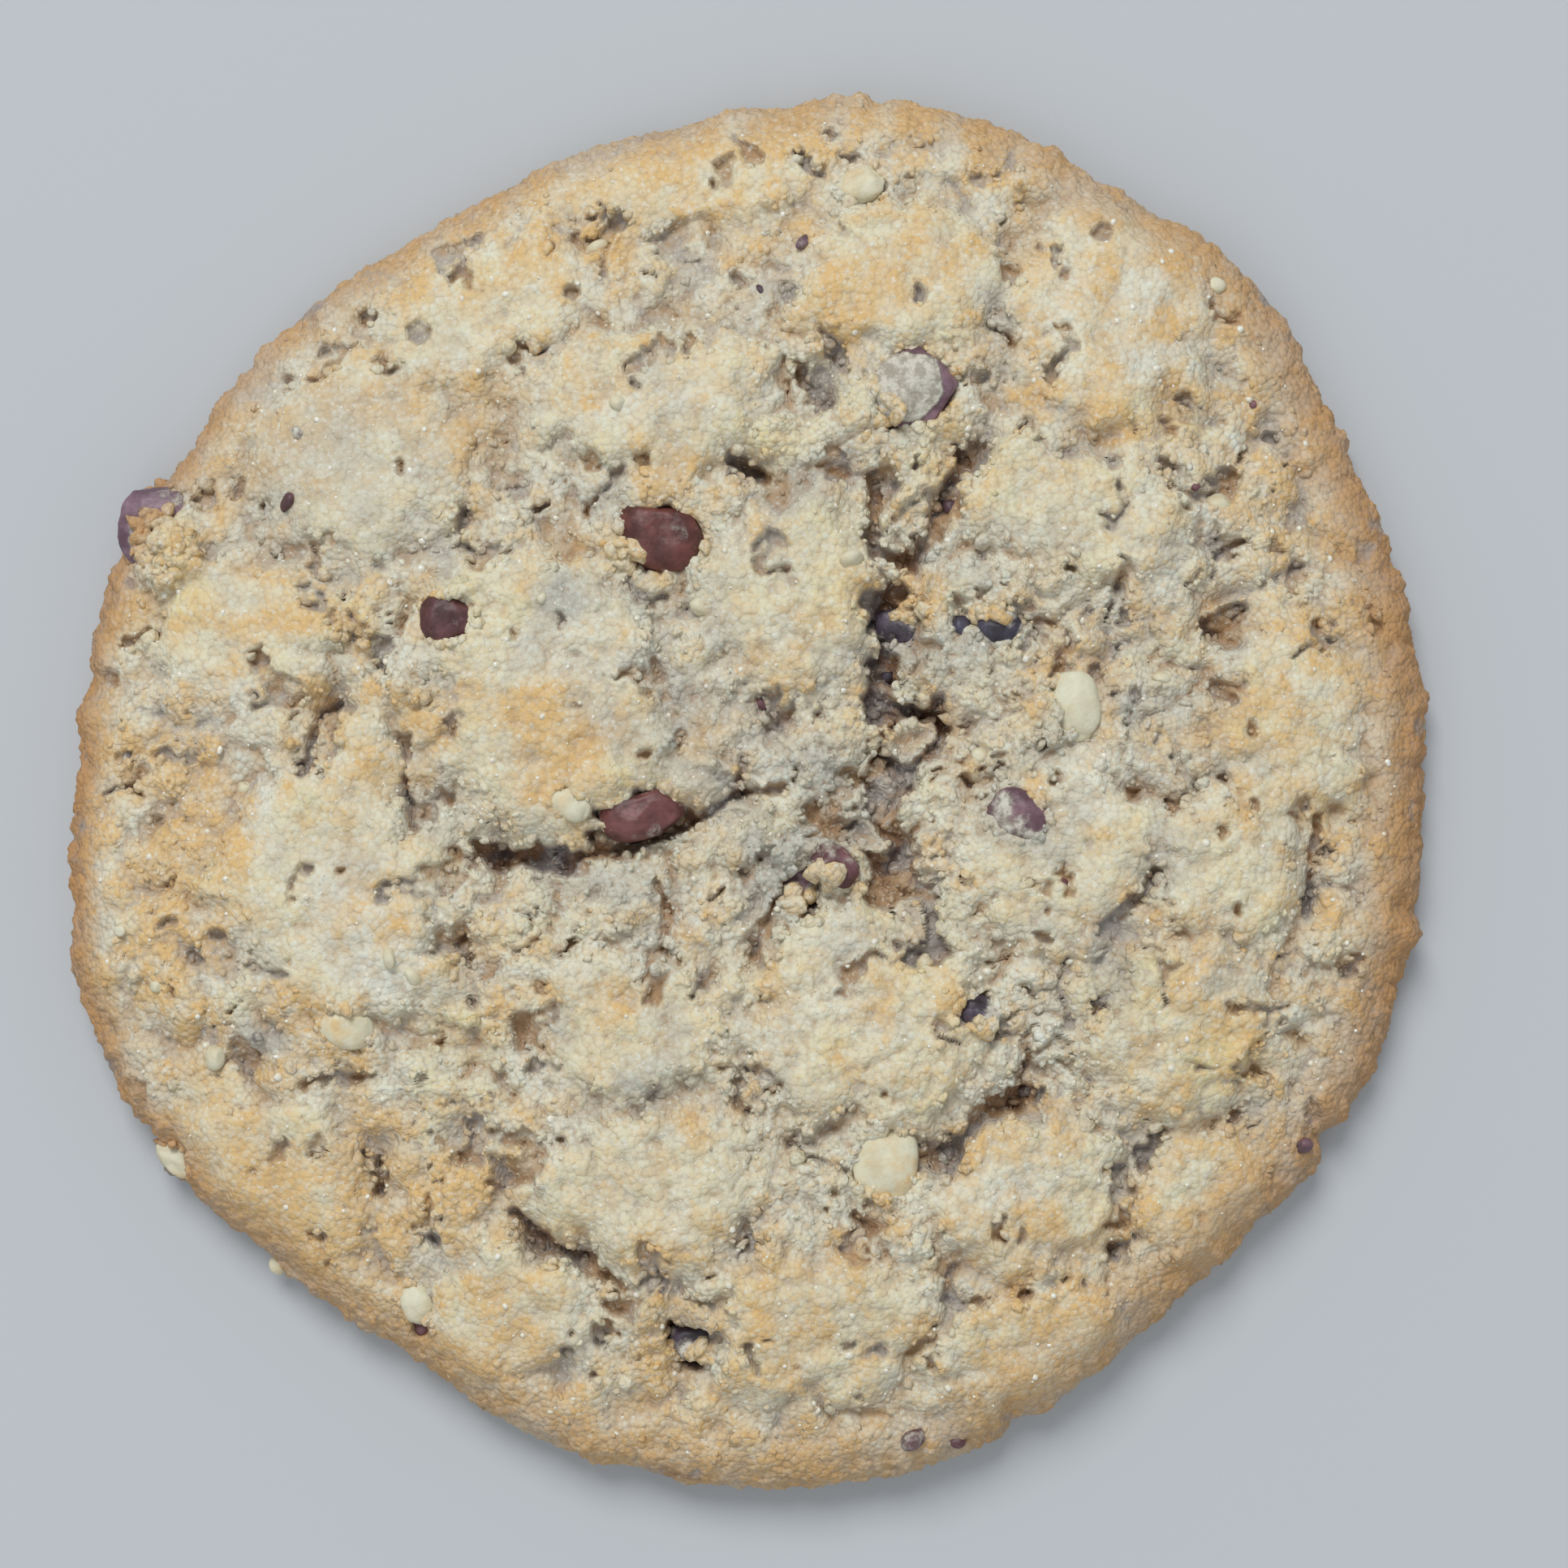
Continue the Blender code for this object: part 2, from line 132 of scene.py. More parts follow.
# Browned spots: x, y, half lengths, strength.
BROWNED = (
    (-14.2, 3, 4.6, 5.6, 0.85), (-6.4, 23.8, 2.6, 2.2, 1), (7.2, 36.6, 2.2, 4.6, 0.8),
    (12.5, 40, 7, 4, 0.5), (17, 34, 3, 4, 0.5), (28, 27.4, 4.4, 1.7, 0.9),
    (12.8, 14.6, 2.4, 2.2, 0.7), (-16.2, 40.6, 2.6, 2.2, 0.7), (-40.5, -10, 3.4, 6, 0.7),
    (-35, -16.5, 3, 2.6, 0.9), (-24.8, -31, 2.4, 2.6, 1), (-12, -46.6, 6, 3, 0.6),
    (30, -39, 8, 5, 0.45), (-23, 5.6, 3.2, 2.6, 0.7), (28, 17, 6, 4, 0.35), (24, 8, 4, 3, 0.5),
    (37, 7, 4, 3, 0.4), (12, -15.5, 3.2, 3.4, 0.6), (-11, -16, 3.2, 2.6, 0.5),
    (-11.5, -34.3, 4, 2.4, 0.5), (0.6, 9.5, 3, 2.2, 0.45), (-33, -30, 10, 6, 0.45),
    (37, -31, 5, 6, 0.5), (32, 41, 6, 4, 0.4), (-38, 12, 7, 4, 0.4), (-33, -1, 3, 3, 0.4),
    (23, -28, 3, 3, 0.3), (-42, -5, 6, 13, 0.85), (-31, -32, 13, 8, 0.9), (43, 6, 4, 16, 0.5),
    (-2, -44, 16, 6, 0.7), (38, -27, 6, 9, 0.55), (26, -40, 10, 5, 0.5),
)

# Pale, floury places, greyer ones and yellower ones.
PALE = (
    (-28, -10, 6, 6, 0.6), (-26.1, -13.2, 3.6, 3.2, 1), (27, 35, 7, 6, 0.6),
    (17.7, -29.8, 5, 3, 0.7), (-8, 29, 7, 3, 0.5), (35.5, 21.4, 2.4, 2.2, 0.7),
    (8.8, 46, 3, 2.2, 0.8), (-12, 10.5, 5, 3.6, 0.5), (1.5, 0.6, 4, 3, 0.8),
    (-37.8, 0, 3, 2.6, 0.7), (-30.6, -17.8, 3, 2.8, 0.6), (20, -20, 5, 4, 0.5),
    (-41, 7, 4, 2.6, 0.7), (25, 0.5, 5, 4, 0.4), (-14, -11.5, 5, 2.6, 0.5), (6, -13, 4, 5, 0.4),
    (-7, -10, 3, 3.4, 0.4), (30, 18, 3, 2.6, 0.4),
)
GREY = (
    (-31.5, 27, 3.2, 2.6, 0.9), (-36.5, 21.5, 2.2, 2, 0.7), (-11.5, 14.2, 4.6, 2.2, 0.7),
    (-12, 22.5, 2.6, 2, 0.7), (14.5, 10.5, 4.4, 2.4, 0.7), (3.4, -5.5, 3.2, 3, 0.8),
    (20.4, -3, 2.6, 2.6, 0.7), (-9.5, -7, 4.2, 1.8, 0.8), (-7.5, -21.5, 3.6, 2.2, 0.8),
    (-29.5, -6, 3, 2.6, 0.5), (37.6, -25, 2.4, 2.4, 0.6), (4.5, 22.5, 3, 2.6, 0.5),
    (17, 17.5, 4, 3, 0.5), (30, -5.5, 4, 3, 0.5), (27, -12, 4, 3, 0.5),
    (-37, -18.6, 2.6, 1.6, 0.8), (-6, -41, 3, 2.4, 0.5), (16, -45, 2.6, 3, 0.4),
    (36, 12.4, 3.4, 3, 0.5), (42.4, -5, 2, 5, 0.4), (-24, 16.6, 4, 2.4, 0.4),
    (-1, 37, 4, 2.6, 0.4), (-20, 27, 3, 3, 0.3), (33, -0.5, 4, 2, 0.4), (-33, 26, 10, 9, 0.8),
    (-4.5, 4.5, 5.5, 5.5, 0.55), (4, -4, 6, 6, 0.5), (30, 0, 9, 14, 0.3), (-8, 29, 7, 5, 0.2),
)
YELLOW = (
    (-29.9, 12.2, 2.6, 2.2, 0.9), (35.8, -20.4, 3.6, 2.8, 0.8), (-15.6, -11.4, 3.6, 1.8, 0.6),
    (28, -14.6, 4.6, 3, 0.5), (-8, 1, 2.6, 2.4, 0.5), (30, 27.6, 6, 2, 0.5), (-22, -20, 3, 8, 0.4),
    (37, 5, 4, 2.4, 0.5), (2.4, 26.4, 3, 2, 0.4), (-42, -5.4, 3, 2, 0.6), (2, -1.6, 3, 1.6, 0.6),
    (-42, 14, 3, 2, 0.4),
)

# Chocolate: x, y, length, width, height, turn in degrees, middle above the dough's surface.
CHOCOLATE_CHIPS = (
    (-6.5, 19, 6.4, 5.2, 4, -12, -0.9),
    (12.5, 29.9, 6.2, 6, 4, 20, -0.9),
    (-7.9, -1.8, 6, 3.6, 3.4, 14, -0.2),
    (20.1, -1.8, 4.6, 3.6, 2.8, -25, -0.8),
    (-44.9, 20, 6.2, 6.4, 3.4, 24, -1),
    (6.6, -5.6, 3.6, 2.6, 2.4, -40, 0.2),
    (3.8, -7.2, 2.8, 3, 2.4, 30, 0.2),
    (-22.2, 12.8, 4.2, 3.8, 2.8, 0, -1),
    (11.6, 12.2, 4, 2.8, 2.6, -10, 0.3),
    (18.8, 12.4, 3.4, 2.8, 2.4, -20, -0.6),
    (17.2, -16.7, 3.4, 2.6, 2.4, -30, -0.6),
    (-4, -41.6, 4, 3.2, 2.6, 15, 0.2),
)

# Pieces of nut, in the same order of numbers.
NUT_PIECES = (
    (24.6, 6.3, 3.4, 5, 2, 12, -0.5),
    (10.3, -27.8, 4.8, 5.8, 2.4, -8, -0.6),
    (-13.1, -1.1, 3, 2.2, 1.8, -30, -0.4),
    (-43.8, -28.3, 3.4, 2, 2, -45, -0.7),
    (-25.1, -38.9, 2.4, 3, 2, 20, -0.4),
    (-30, -17.8, 3.8, 3.4, 2.4, 0, -0.5),
    (8.6, 45.6, 3.8, 2.6, 2, 20, -0.5),
)
PIECES = CHOCOLATE_CHIPS + NUT_PIECES

# The chips in the same order: how coated with crumb, how black, how mauve with bloom. Then how
# tan each piece of nut is.
CHIP_LOOKS = (
    (0.08, 0, 0), (0.10, 0, 0.9), (0.08, 0, 0.1), (0.30, 0, 0.7),
    # The eighth chip's blackness is painted shade, for the pit it sits in.
    (0.15, 0, 1), (0.15, 0, 0.3), (0.25, 0.1, 0.7), (0.05, 0.25, 0),
    (0.25, 0.9, 0), (0.20, 1, 0), (0.30, 0.9, 0), (0.35, 0.9, 0),
)
NUT_TANS = (0, 0.45, 0.2, 0.1, 0, 0.5, 0.3)

# One chip's patch of crumb, and where its middle lies from the chip's.
PATCHED_CHIP = "chocolate_chip_02"
PATCH_MIDDLE = (-0.5, 0.4)

# Places where the dough laps over a piece, or sinks beside one where the height is negative:
# x, y, half lengths, turn, height over the dough.
LIPS = (
    (-6.4, 22.3, 4.2, 1.5, 0, 1.1), (-9.2, 18, 0.9, 1.4, 20, 0.6), (-11.6, 0.6, 2.2, 1.6, 30, 0.7),
    (22, -0.6, 0.8, 1.4, 30, 0.4), (-22.6, 15, 2.6, 1, 0, 0.9), (-24.6, 12.2, 0.9, 1.6, 0, 0.5),
    (-43.8, 18, 3.3, 3.1, 20, 2.1), (9.4, -26, 1.6, 1, 0, 0.3), (-4.2, -39.6, 2.4, 0.9, 0, 0.6),
    (12.2, 3.9, 1.6, 1.4, 0, -0.9), (8.9, -3.4, 1.5, 1.2, 30, -1), (12.3, -9.6, 1.2, 1.5, 0, -0.9),
)

# Clumps of crumb that lie over a chip: its number, x, y, half lengths, how many crumbs.
LAPS = (
    (5, -44.3, 18.6, 2.6, 2.7, 46), (1, -9, 17.6, 1, 1, 10), (6, 6, -6.4, 1.2, 0.7, 9),
    (7, 3.8, -8.2, 1.3, 0.6, 9), (2, 10.6, 28.2, 0.9, 0.8, 7), (9, 12.4, 13.1, 1.3, 0.5, 8),
    (10, 18, 13.2, 0.9, 0.5, 6), (11, 17.6, -17.6, 1, 0.5, 7), (12, -3.2, -42.6, 1.2, 0.6, 8),
)

# Notches in the rim, and a tab where the depth is negative: x, y, half width, depth.
NOTCHES = (
    (-4.6, -51.2, 1.4, 1), (45.2, -26.9, 1.6, 1), (9.8, 52.4, 1.2, 0.7), (51.4, -10.9, 1.5, -0.8),
    (-36, 36.6, 1.6, 0.6), (-51.6, 8, 1.8, 0.5), (-46.4, -22, 1.4, 0.6), (20.4, -48, 1.6, 0.6),
    (30, 44, 1.6, 0.5),
)

# Specks of chocolate: x, y, size, how black, how coated with crumb.
CHOCOLATE_SPECKS = (
    (-34.6, 21.6, 2.2, 0.1, 0.2), (38.3, 29.2, 0.9, 0, 0), (1.1, 6.4, 0.9, 0, 0.1),
    (33.6, 22.7, 0.8, 0, 0.1), (23.6, -6.9, 0.8, 0, 0.1), (12.5, -49.3, 1.9, 0, 0.4),
    (16, -49.6, 1.1, 0, 0.3), (-36.9, -18.6, 2, 0.9, 0.6), (-47.1, 2.6, 1.4, 0.8, 0.5),
    (-33.8, 26.9, 1.1, 0.3, 0.6), (42.3, -27.1, 1.3, 0.3, 0.2), (4.4, 41.2, 1.8, 0.4, 0.3),
    (21.3, -22.7, 1.9, 0.6, 0.4), (16.1, 12.3, 1.3, 1, 0), (-24.8, -40.9, 1.5, 0, 0.1),
    (10.6, 8.6, 1.4, 0.9, 0.2), (0.9, 37.6, 1.1, 0.6, 0.3), (15.3, 21.3, 1.2, 0.5, 0.2),
)

# Specks of nut and pale grains: x, y, size. Then how tan they are.
NUT_SPECKS = (
    (35.5, 21.4, 1.9), (7.7, 17.1, 1.8), (-3.4, 13.6, 2), (-11.4, 41, 1.6), (-37.9, 0.1, 1.5),
    (35.5, 38.3, 1.5), (-26.6, -12.4, 1.8), (-24.8, -14, 1.6), (-47.4, -10.6, 1.4),
    (-44.6, -14.8, 1.5), (-40.2, -20.2, 1.5), (-36.2, -36.6, 1.3), (-15.2, 14.2, 1),
    (17.4, 2.6, 1), (31, 8.4, 1.3), (-9.6, 28.8, 1.2),
)
NUT_SPECK_TAN = 0.2

# The raster that holds the dough's relief and masks.
RASTER_HALF = 57.0
RASTER_STEP = 0.125

# The craggiest place on the top, and how far its crags reach.
CRAG_MIDDLE = (10.0, -10.0)
CRAG_REACH = 42.0

# Small holes: pitch, seed, how rare, depth. Then the torn place where they lie closest.
SMALL_HOLES = ((3.4, 54, 0.48, 1.5), (2.0, 57, 0.44, 1.0))
TORN_PLACE = (22.0, 0.0, 20.0, 26.0, 0)

# The dough's grid, its triangles once thinned, the shares of its side above and below the widest
# level, and where the top and the underside lie on the map.
DOUGH_CELLS = 560
DOUGH_TRIANGLES = 195000
SHOULDER_SHARE = 0.68
FOOT_SHARE = 0.32
TOP_SHARE = 0.84
UNDERSIDE_SPOT = (0.925, 0.075)

# Crumbs and grains: places tried, crumbs kept, their distance from the rim, seeds.
CRUMB_PLACES = 60000
FINE_PLACES = 40000
SUGAR_PLACES = 800
CRUMBS = 1900
FINE_CRUMBS = 3600
SHOULDER_MARGIN = 2.8
CRUMB_SEED = 81
SUGAR_SEED = 82
SPECK_SEEDS = {"chocolate_specks": 83, "nut_specks": 84}
FINE_SEED = 85

# The flats that each kind of chunk is broken by, the kinds of crumb, the nuts' first seed.
CHIP_FLATS = 9
NUT_FLATS = 6
CRUMB_FLATS = 7
CRUMB_KINDS = 24
NUT_SEED = 40

# How many cells noise has before it repeats.
NOISE_TABLE = 64
FINE_TABLE = 256


def smooth(share):
    """An S curve from 0 to 1."""
    share = np.clip(share, 0, 1)
    return share * share * (3 - 2 * share)


def noise(x, y, pitch, seed, table=NOISE_TABLE):
    """Smooth seeded noise from about -1 to 1, with bumps about one pitch apart."""
    turns = np.random.default_rng(seed).uniform(0, math.tau, (table, table))
    lean_x, lean_y = np.cos(turns), np.sin(turns)
    column, row = np.floor(x / pitch).astype(int), np.floor(y / pitch).astype(int)
    across, along = x / pitch - column, y / pitch - row

    def corner(right, up):
        at = (column + right) % table, (row + up) % table
        return lean_x[at] * (across - right) + lean_y[at] * (along - up)

    ease_x, ease_y = smooth(across), smooth(along)
    low = corner(0, 0) + ease_x * (corner(1, 0) - corner(0, 0))
    high = corner(0, 1) + ease_x * (corner(1, 1) - corner(0, 1))
    return 1.6 * (low + ease_y * (high - low))


def layered(x, y, pitch, seed, octaves, fall, fold):
    """Noise with finer noise upon it, each octave half the pitch and weaker by the fall."""
    total, weight = 0, 0
    for octave in range(octaves):
        strength = fall**octave
        wave = noise(x, y, pitch / 2**octave, seed + 100 * octave, FINE_TABLE)
        total = total + strength * fold(wave)
        weight += strength
    return total / weight


def rough(x, y, pitch, seed, octaves=3):
    """Ragged ground, from about -1 to 1."""
    return layered(x, y, pitch, seed, octaves, 0.55, np.positive)


def billow(x, y, pitch, seed, octaves=3):
    """Rounded lumps with sharp creases between them, from 0 to about 1."""
    return layered(x, y, pitch, seed, octaves, 0.6, np.abs)


def puffs(x, y, pitch, seed):
    """Balls of crumb side by side, seen from above, from 0 to about 1 with creases between."""
    rng = np.random.default_rng(seed)
    right_by, up_by, sizes, sunk = rng.uniform(0, 1, (4, FINE_TABLE, FINE_TABLE))
    column, row = np.floor(x / pitch).astype(int), np.floor(y / pitch).astype(int)
    height = np.zeros_like(x)
    for right in (-1, 0, 1):
        for up in (-1, 0, 1):
            at = (column + right) % FINE_TABLE, (row + up) % FINE_TABLE
            across = x / pitch - column - right - right_by[at]
            along = y / pitch - row - up - up_by[at]
            size = 0.55 + 0.4 * sizes[at]
            ball = np.sqrt(np.clip(size**2 - across**2 - along**2, 0, None))
            height = np.maximum(height, ball - 0.3 * sunk[at])
    return height


def rim_radius(angle):
    """The rim's radius: a smooth closed curve through RIM_RADII, with nibbles."""
    radii = np.array(RIM_RADII)
    place = np.asarray(angle) % math.tau / math.tau * len(radii)
    before = np.floor(place).astype(int)
    share = place - before
    a, b, c, d = (radii[(before + k) % len(radii)] for k in (-1, 0, 1, 2))
    bend = (2 * a - 5 * b + 4 * c - d) + share * (3 * b - a - 3 * c + d)
    radius = b + 0.5 * share * (c - a + share * bend)
    x, y = radius * np.cos(angle), radius * np.sin(angle)
    return radius + NIBBLE_DEPTH * noise(x, y, NIBBLE_PITCH, 3)


def outline_middle():
    """The middle of the outline's bounding box."""
    angle = np.linspace(0, math.tau, 1440, endpoint=False)
    radius = rim_radius(angle)
    x, y = radius * np.cos(angle), radius * np.sin(angle)
    return np.array(((x.min() + x.max()) / 2, (y.min() + y.max()) / 2, 0))


ORIGIN = outline_middle()


def ellipse_reach(x, y, row):
    """1 on the edge of an ellipse given as x, y, half lengths and a turn, less inside."""
    middle_x, middle_y, half_x, half_y, turn = row
    cos, sin = math.cos(math.radians(turn)), math.sin(math.radians(turn))
    dx, dy = x - middle_x, y - middle_y
    return np.hypot((dx * cos + dy * sin) / half_x, (dy * cos - dx * sin) / half_y)


def piece_reach(x, y, row, margin=0):
    """The same for a chip or a piece of nut, seen from above."""
    middle_x, middle_y, length, width, _, turn, _ = row
    ellipse = middle_x, middle_y, length / 2 + margin, width / 2 + margin, turn
    return ellipse_reach(x, y, ellipse)


def path_distance(x, y, points):
    away = np.full(x.shape, 1e3)
    for (x0, y0), (x1, y1) in zip(points, points[1:]):
        run = (x1 - x0) ** 2 + (y1 - y0) ** 2
        share = np.clip(((x - x0) * (x1 - x0) + (y - y0) * (y1 - y0)) / run, 0, 1)
        away = np.minimum(away, np.hypot(x - x0 - share * (x1 - x0), y - y0 - share * (y1 - y0)))
    return away


def spots(x, y, rows):
    """A soft mask of the listed spots."""
    mask = np.zeros_like(x)
    for *ellipse, strength in rows:
        mask = np.maximum(mask, strength * smooth(1.4 - ellipse_reach(x, y, (*ellipse, 0))))
    return mask


def blurred(field, width):
    """The raster blurred over this many millimetres."""
    size = field.shape[0]
    wave = np.fft.fftfreq(size, RASTER_STEP)
    fall = np.exp(-2 * (math.pi * width) ** 2 * wave**2)
    half = fall[: size // 2 + 1]
    return np.fft.irfft2(np.fft.rfft2(field) * fall[:, None] * half[None, :], field.shape)


def dome_rise(inward):
    """How far the plain dome stands above its edge, this far in from the rim."""
    return (CROWN_HEIGHT - EDGE_HEIGHT) * (1 - np.exp(-((inward / RISE_RUN) ** 2)))


def wander(x, y):
    """Where a point is read from, so that the plates' edges wander."""
    return x + 0.9 * noise(x, y, 3.4, 11), y + 0.9 * noise(x, y, 3.4, 12)


def plates(x, y, outer, soft):
    """How high the plates stand, and how far inside its plate each place lies."""
    raised = np.zeros_like(x)
    inside = np.full_like(x, -9)
    for *ellipse, rise in CRUST_PLATES:
        reach = ellipse_reach(x, y, ellipse)
        raised = np.maximum(raised, rise * smooth((outer - reach) / soft))
        inside = np.maximum(inside, (1 - reach) * min(ellipse[2:4]))
    return raised, inside


def heave(x, y):
    """The broad swells of the dough's top."""
    return 0.7 * noise(x, y, 17, 21) + 0.4 * noise(x, y, 7.5, 22)


def from_rim(x, y):
    return rim_radius(np.arctan2(y, x)) - np.hypot(x, y)


def from_crags(x, y):
    """How far off the craggiest place is, as a share of the crags' reach."""
    return np.hypot(x - CRAG_MIDDLE[0], y - CRAG_MIDDLE[1]) / CRAG_REACH


class Relief:
    """The dough's relief and masks on one fine raster, read at any point.

    Each noise is given its pitch in millimetres and a seed of its own.
    """

    def __init__(self):
        steps = round(2 * RASTER_HALF / RASTER_STEP)
        line = (np.arange(steps) + 0.5) * RASTER_STEP - RASTER_HALF
        x, y = np.meshgrid(line, line, indexing="ij")
        self.fields = {}
        warped_x, warped_y = wander(x, y)
        ragged_x = warped_x + 0.8 * rough(x, y, 1.8, 31, 4)
        ragged_y = warped_y + 0.8 * rough(x, y, 1.8, 32, 4)
        inward = from_rim(x, y)
        calm = 0.45 + 0.55 * smooth((inward - 1.5) / 6)
        crisp = 0.55 + 0.85 * smooth(1.25 - from_crags(x, y))
        crisp = crisp * (0.6 + 0.4 * smooth((inward - 1) / 8))
        bent_x, bent_y = x + 0.25 * noise(x, y, 0.8, 36), y + 0.25 * noise(x, y, 0.8, 37)
        grains = puffs(bent_x, bent_y, 1.15, 38) - 0.45
        frill = 0.5 * (billow(x, y, 1.1, 35, 3) - 0.33) + 0.5 * grains

        plate_x = ragged_x + 1.6 * noise(x, y, 8, 33)
        plate_y = ragged_y + 1.6 * noise(x, y, 8, 34)
        rise, inside = plates(plate_x, plate_y, 1.15, 0.4)
        crust = smooth((inside + 3 * rough(x, y, 5, 41) + 1) / 3)
        loose = (1 - 0.62 * crust) * calm

        cut, sag = self.openings(x, y, ragged_x, ragged_y, frill, loose)
        lumps = 1.5 * (billow(ragged_x, ragged_y, 6, 51, 2) - 0.33)
        clumps = 1.5 * (puffs(ragged_x, ragged_y, 2.6, 52) - 0.5)
        granules = 0.62 * grains + 0.3 * (puffs(bent_x, bent_y, 0.62, 39) - 0.45)
        top = heave(x, y) + rise + 0.2 * crust - sag + loose * lumps
        relief = top - cut + loose * clumps + (0.5 + 0.5 * loose) * crisp * granules
        relief = self.sockets(ragged_x, ragged_y, relief, top)
        self.fields["relief"] = relief
        self.masks(x, y, top, relief, crust, inward)

    def openings(self, x, y, ragged_x, ragged_y, frill, loose):
        """How deep the cracks and holes are cut, and how far the dough sags around them."""
        sharp_x, sharp_y = 0.5 * (x + ragged_x), 0.5 * (y + ragged_y)
        uneven = rough(x, y, 3.2, 43, 3)
        cut = np.zeros_like(x)
        sag = np.zeros_like(x)
        for gape, half_width, deepest, points in CRACKS:
            away = path_distance(sharp_x, sharp_y, points)
            half = gape * (0.75 + 1.2 * uneven) + 0.8 * frill
            cut = np.maximum(cut, 0.76 * deepest * smooth((half - away) / 0.4 + 0.5))
            slope = smooth(1.25 - away / (2 * max(half_width, 1)))
            sag = np.maximum(sag, 0.3 * deepest * slope)
        for middle_x, middle_y, half_width, deepest in PITS:
            away = np.hypot(sharp_x - middle_x, sharp_y - middle_y)
            half = half_width * (0.8 + 0.8 * uneven) + 0.7 * frill
            cut = np.maximum(cut, 0.8 * deepest * smooth((half - away) / 0.35 + 0.5))
        torn = smooth(1.3 - ellipse_reach(x, y, TORN_PLACE))
        for pitch, seed, open_share, deepest in SMALL_HOLES:
            hollow = rough(1.4 * ragged_x - 0.5 * ragged_y, ragged_y, pitch, seed, 4) + 0.25 * frill
            bar = open_share + 0.42 * (1 - loose) - 0.12 * noise(x, y, 9, seed + 1) - 0.13 * torn
            cut = np.maximum(cut, deepest * smooth((hollow - bar) / 0.12))
        line = np.abs(rough(ragged_x, ragged_y, 7, 59, 4)) * 3.2
        thin = 0.3 * smooth((rough(x, y, 5, 60, 2) - 0.1 - 0.25 * (1 - loose)) / 0.2)
        cut = np.maximum(cut, 1.1 * smooth((thin - line) / 0.25 + 0.5) * smooth(thin / 0.2))
        floor = 0.9 * (billow(x, y, 1.6, 44, 3) - 0.15)
        return cut * (1 - np.clip(floor, 0, 0.7)), sag

    def sockets(self, x, y, relief, top):
        """Opens the dough over each piece that shows, and laps it over their edges again."""
        socket = np.zeros_like(x)
        for row in PIECES:
            outside = (piece_reach(x, y, row) - 0.82) * min(row[2:4]) / 2
            socket = np.maximum(socket, (0.4 * row[4] + 0.2) * smooth(0.5 - outside / 0.45))
        relief = relief - socket
        self.fields["socket"] = socket
        for *ellipse, above in LIPS:
            reach = ellipse_reach(x, y, ellipse)
            share = smooth((1.15 - reach) / 0.3)
            relief = relief * (1 - share) + (top + above * smooth(1.3 - reach)) * share
        return relief

    def masks(self, x, y, top, relief, crust, inward):
        broad = relief - blurred(relief, 2.4)
        middling = relief - blurred(relief, 1.1)
        close = relief - blurred(relief, 0.4)
        round_way = 0.74 + 0.26 * np.cos(2 * np.arctan2(y, x))
        rim = 0.5 * smooth(1 - inward / 30) + 0.25 * smooth(1 - inward / 5) * round_way
        brown = np.maximum(spots(x, y, BROWNED), rim)
        brown = brown + 0.8 * rough(x, y, 8, 61) + 1.2 * rough(x, y, 2.8, 65, 3)
        brown = brown + 0.45 * np.clip(middling, -0.6, 0.6) - 0.1
        # Where the rim's band of toast widens: painted shade on the rim's lower right side.
        shaded_side = smooth(0.5 + 0.6 * np.cos(np.arctan2(y, x) + math.radians(22)))
        steep = np.hypot(*np.gradient(blurred(relief, 0.25), RASTER_STEP))
        below = top - relief
        creases = smooth((-close - 0.02) / 0.26)
        core = 0.25 * smooth(1.25 - np.hypot(x - 2, y - 2) / 24)
        grey = spots(x, y, GREY) + core + 1.1 * rough(x, y, 4.2, 63) - 0.12
        inner = 0.3 + 0.7 * smooth(inward / 16)
        gold = spots(x, y, YELLOW) + 0.5 * rough(x, y, 4, 64) + 0.3 * np.clip(broad, 0, 1)
        self.fields.update(
            crust=crust,
            brown=np.clip(brown, 0, 1),
            # The rim's band of toast, widened on its lower right side as painted shade.
            toast=smooth(1.1 - inward / (3.6 + 3.4 * shaded_side)) * round_way,
            # hollow, deep, low and crease mark where the dough's colour is darkened as painted
            # shade.
            hollow=smooth((below - 0.25) / 1.1),
            deep=smooth((below - 1.3) / 1.6),
            low=smooth((0.35 - broad) / 1.5),
            crease=np.maximum(creases, 0.8 * smooth((-middling - 0.05) / 0.8)),
            edge=smooth((steep - 0.7) / 0.8) * smooth(1 - below / 0.6),
            pale=np.clip(1.1 * spots(x, y, PALE) + 0.7 * rough(x, y, 6, 62), 0, 1),
            grey=np.clip(grey, 0, 1) * inner,
            yellow=np.clip(gold, 0, 1),
        )

    def at(self, name, x, y):
        """The field read between its raster's points."""
        field = self.fields[name]
        place_x = np.clip((x + RASTER_HALF) / RASTER_STEP - 0.5, 0, field.shape[0] - 1.001)
        place_y = np.clip((y + RASTER_HALF) / RASTER_STEP - 0.5, 0, field.shape[1] - 1.001)
        column, row = place_x.astype(int), place_y.astype(int)
        across, along = place_x - column, place_y - row
        low = field[column, row] * (1 - across) + field[column + 1, row] * across
        high = field[column, row + 1] * (1 - across) + field[column + 1, row + 1] * across
        return low * (1 - along) + high * along


RELIEF = Relief()

# The fields that colour the dough and the crumbs.
MASKS = ("crust", "brown", "toast", "hollow", "deep", "low", "crease", "pale", "grey", "yellow")


def plain_top(x, y):
    """The top's height before its relief, and the share of the relief it takes."""
    inward = from_rim(x, y)
    lean = np.clip(1 - inward / EDGE_RUN, 0, 1)
    edge = WIDEST_HEIGHT + (EDGE_HEIGHT - WIDEST_HEIGHT) * np.sqrt(1 - lean**2)
    return edge + dome_rise(inward), smooth(inward / EDGE_RUN)


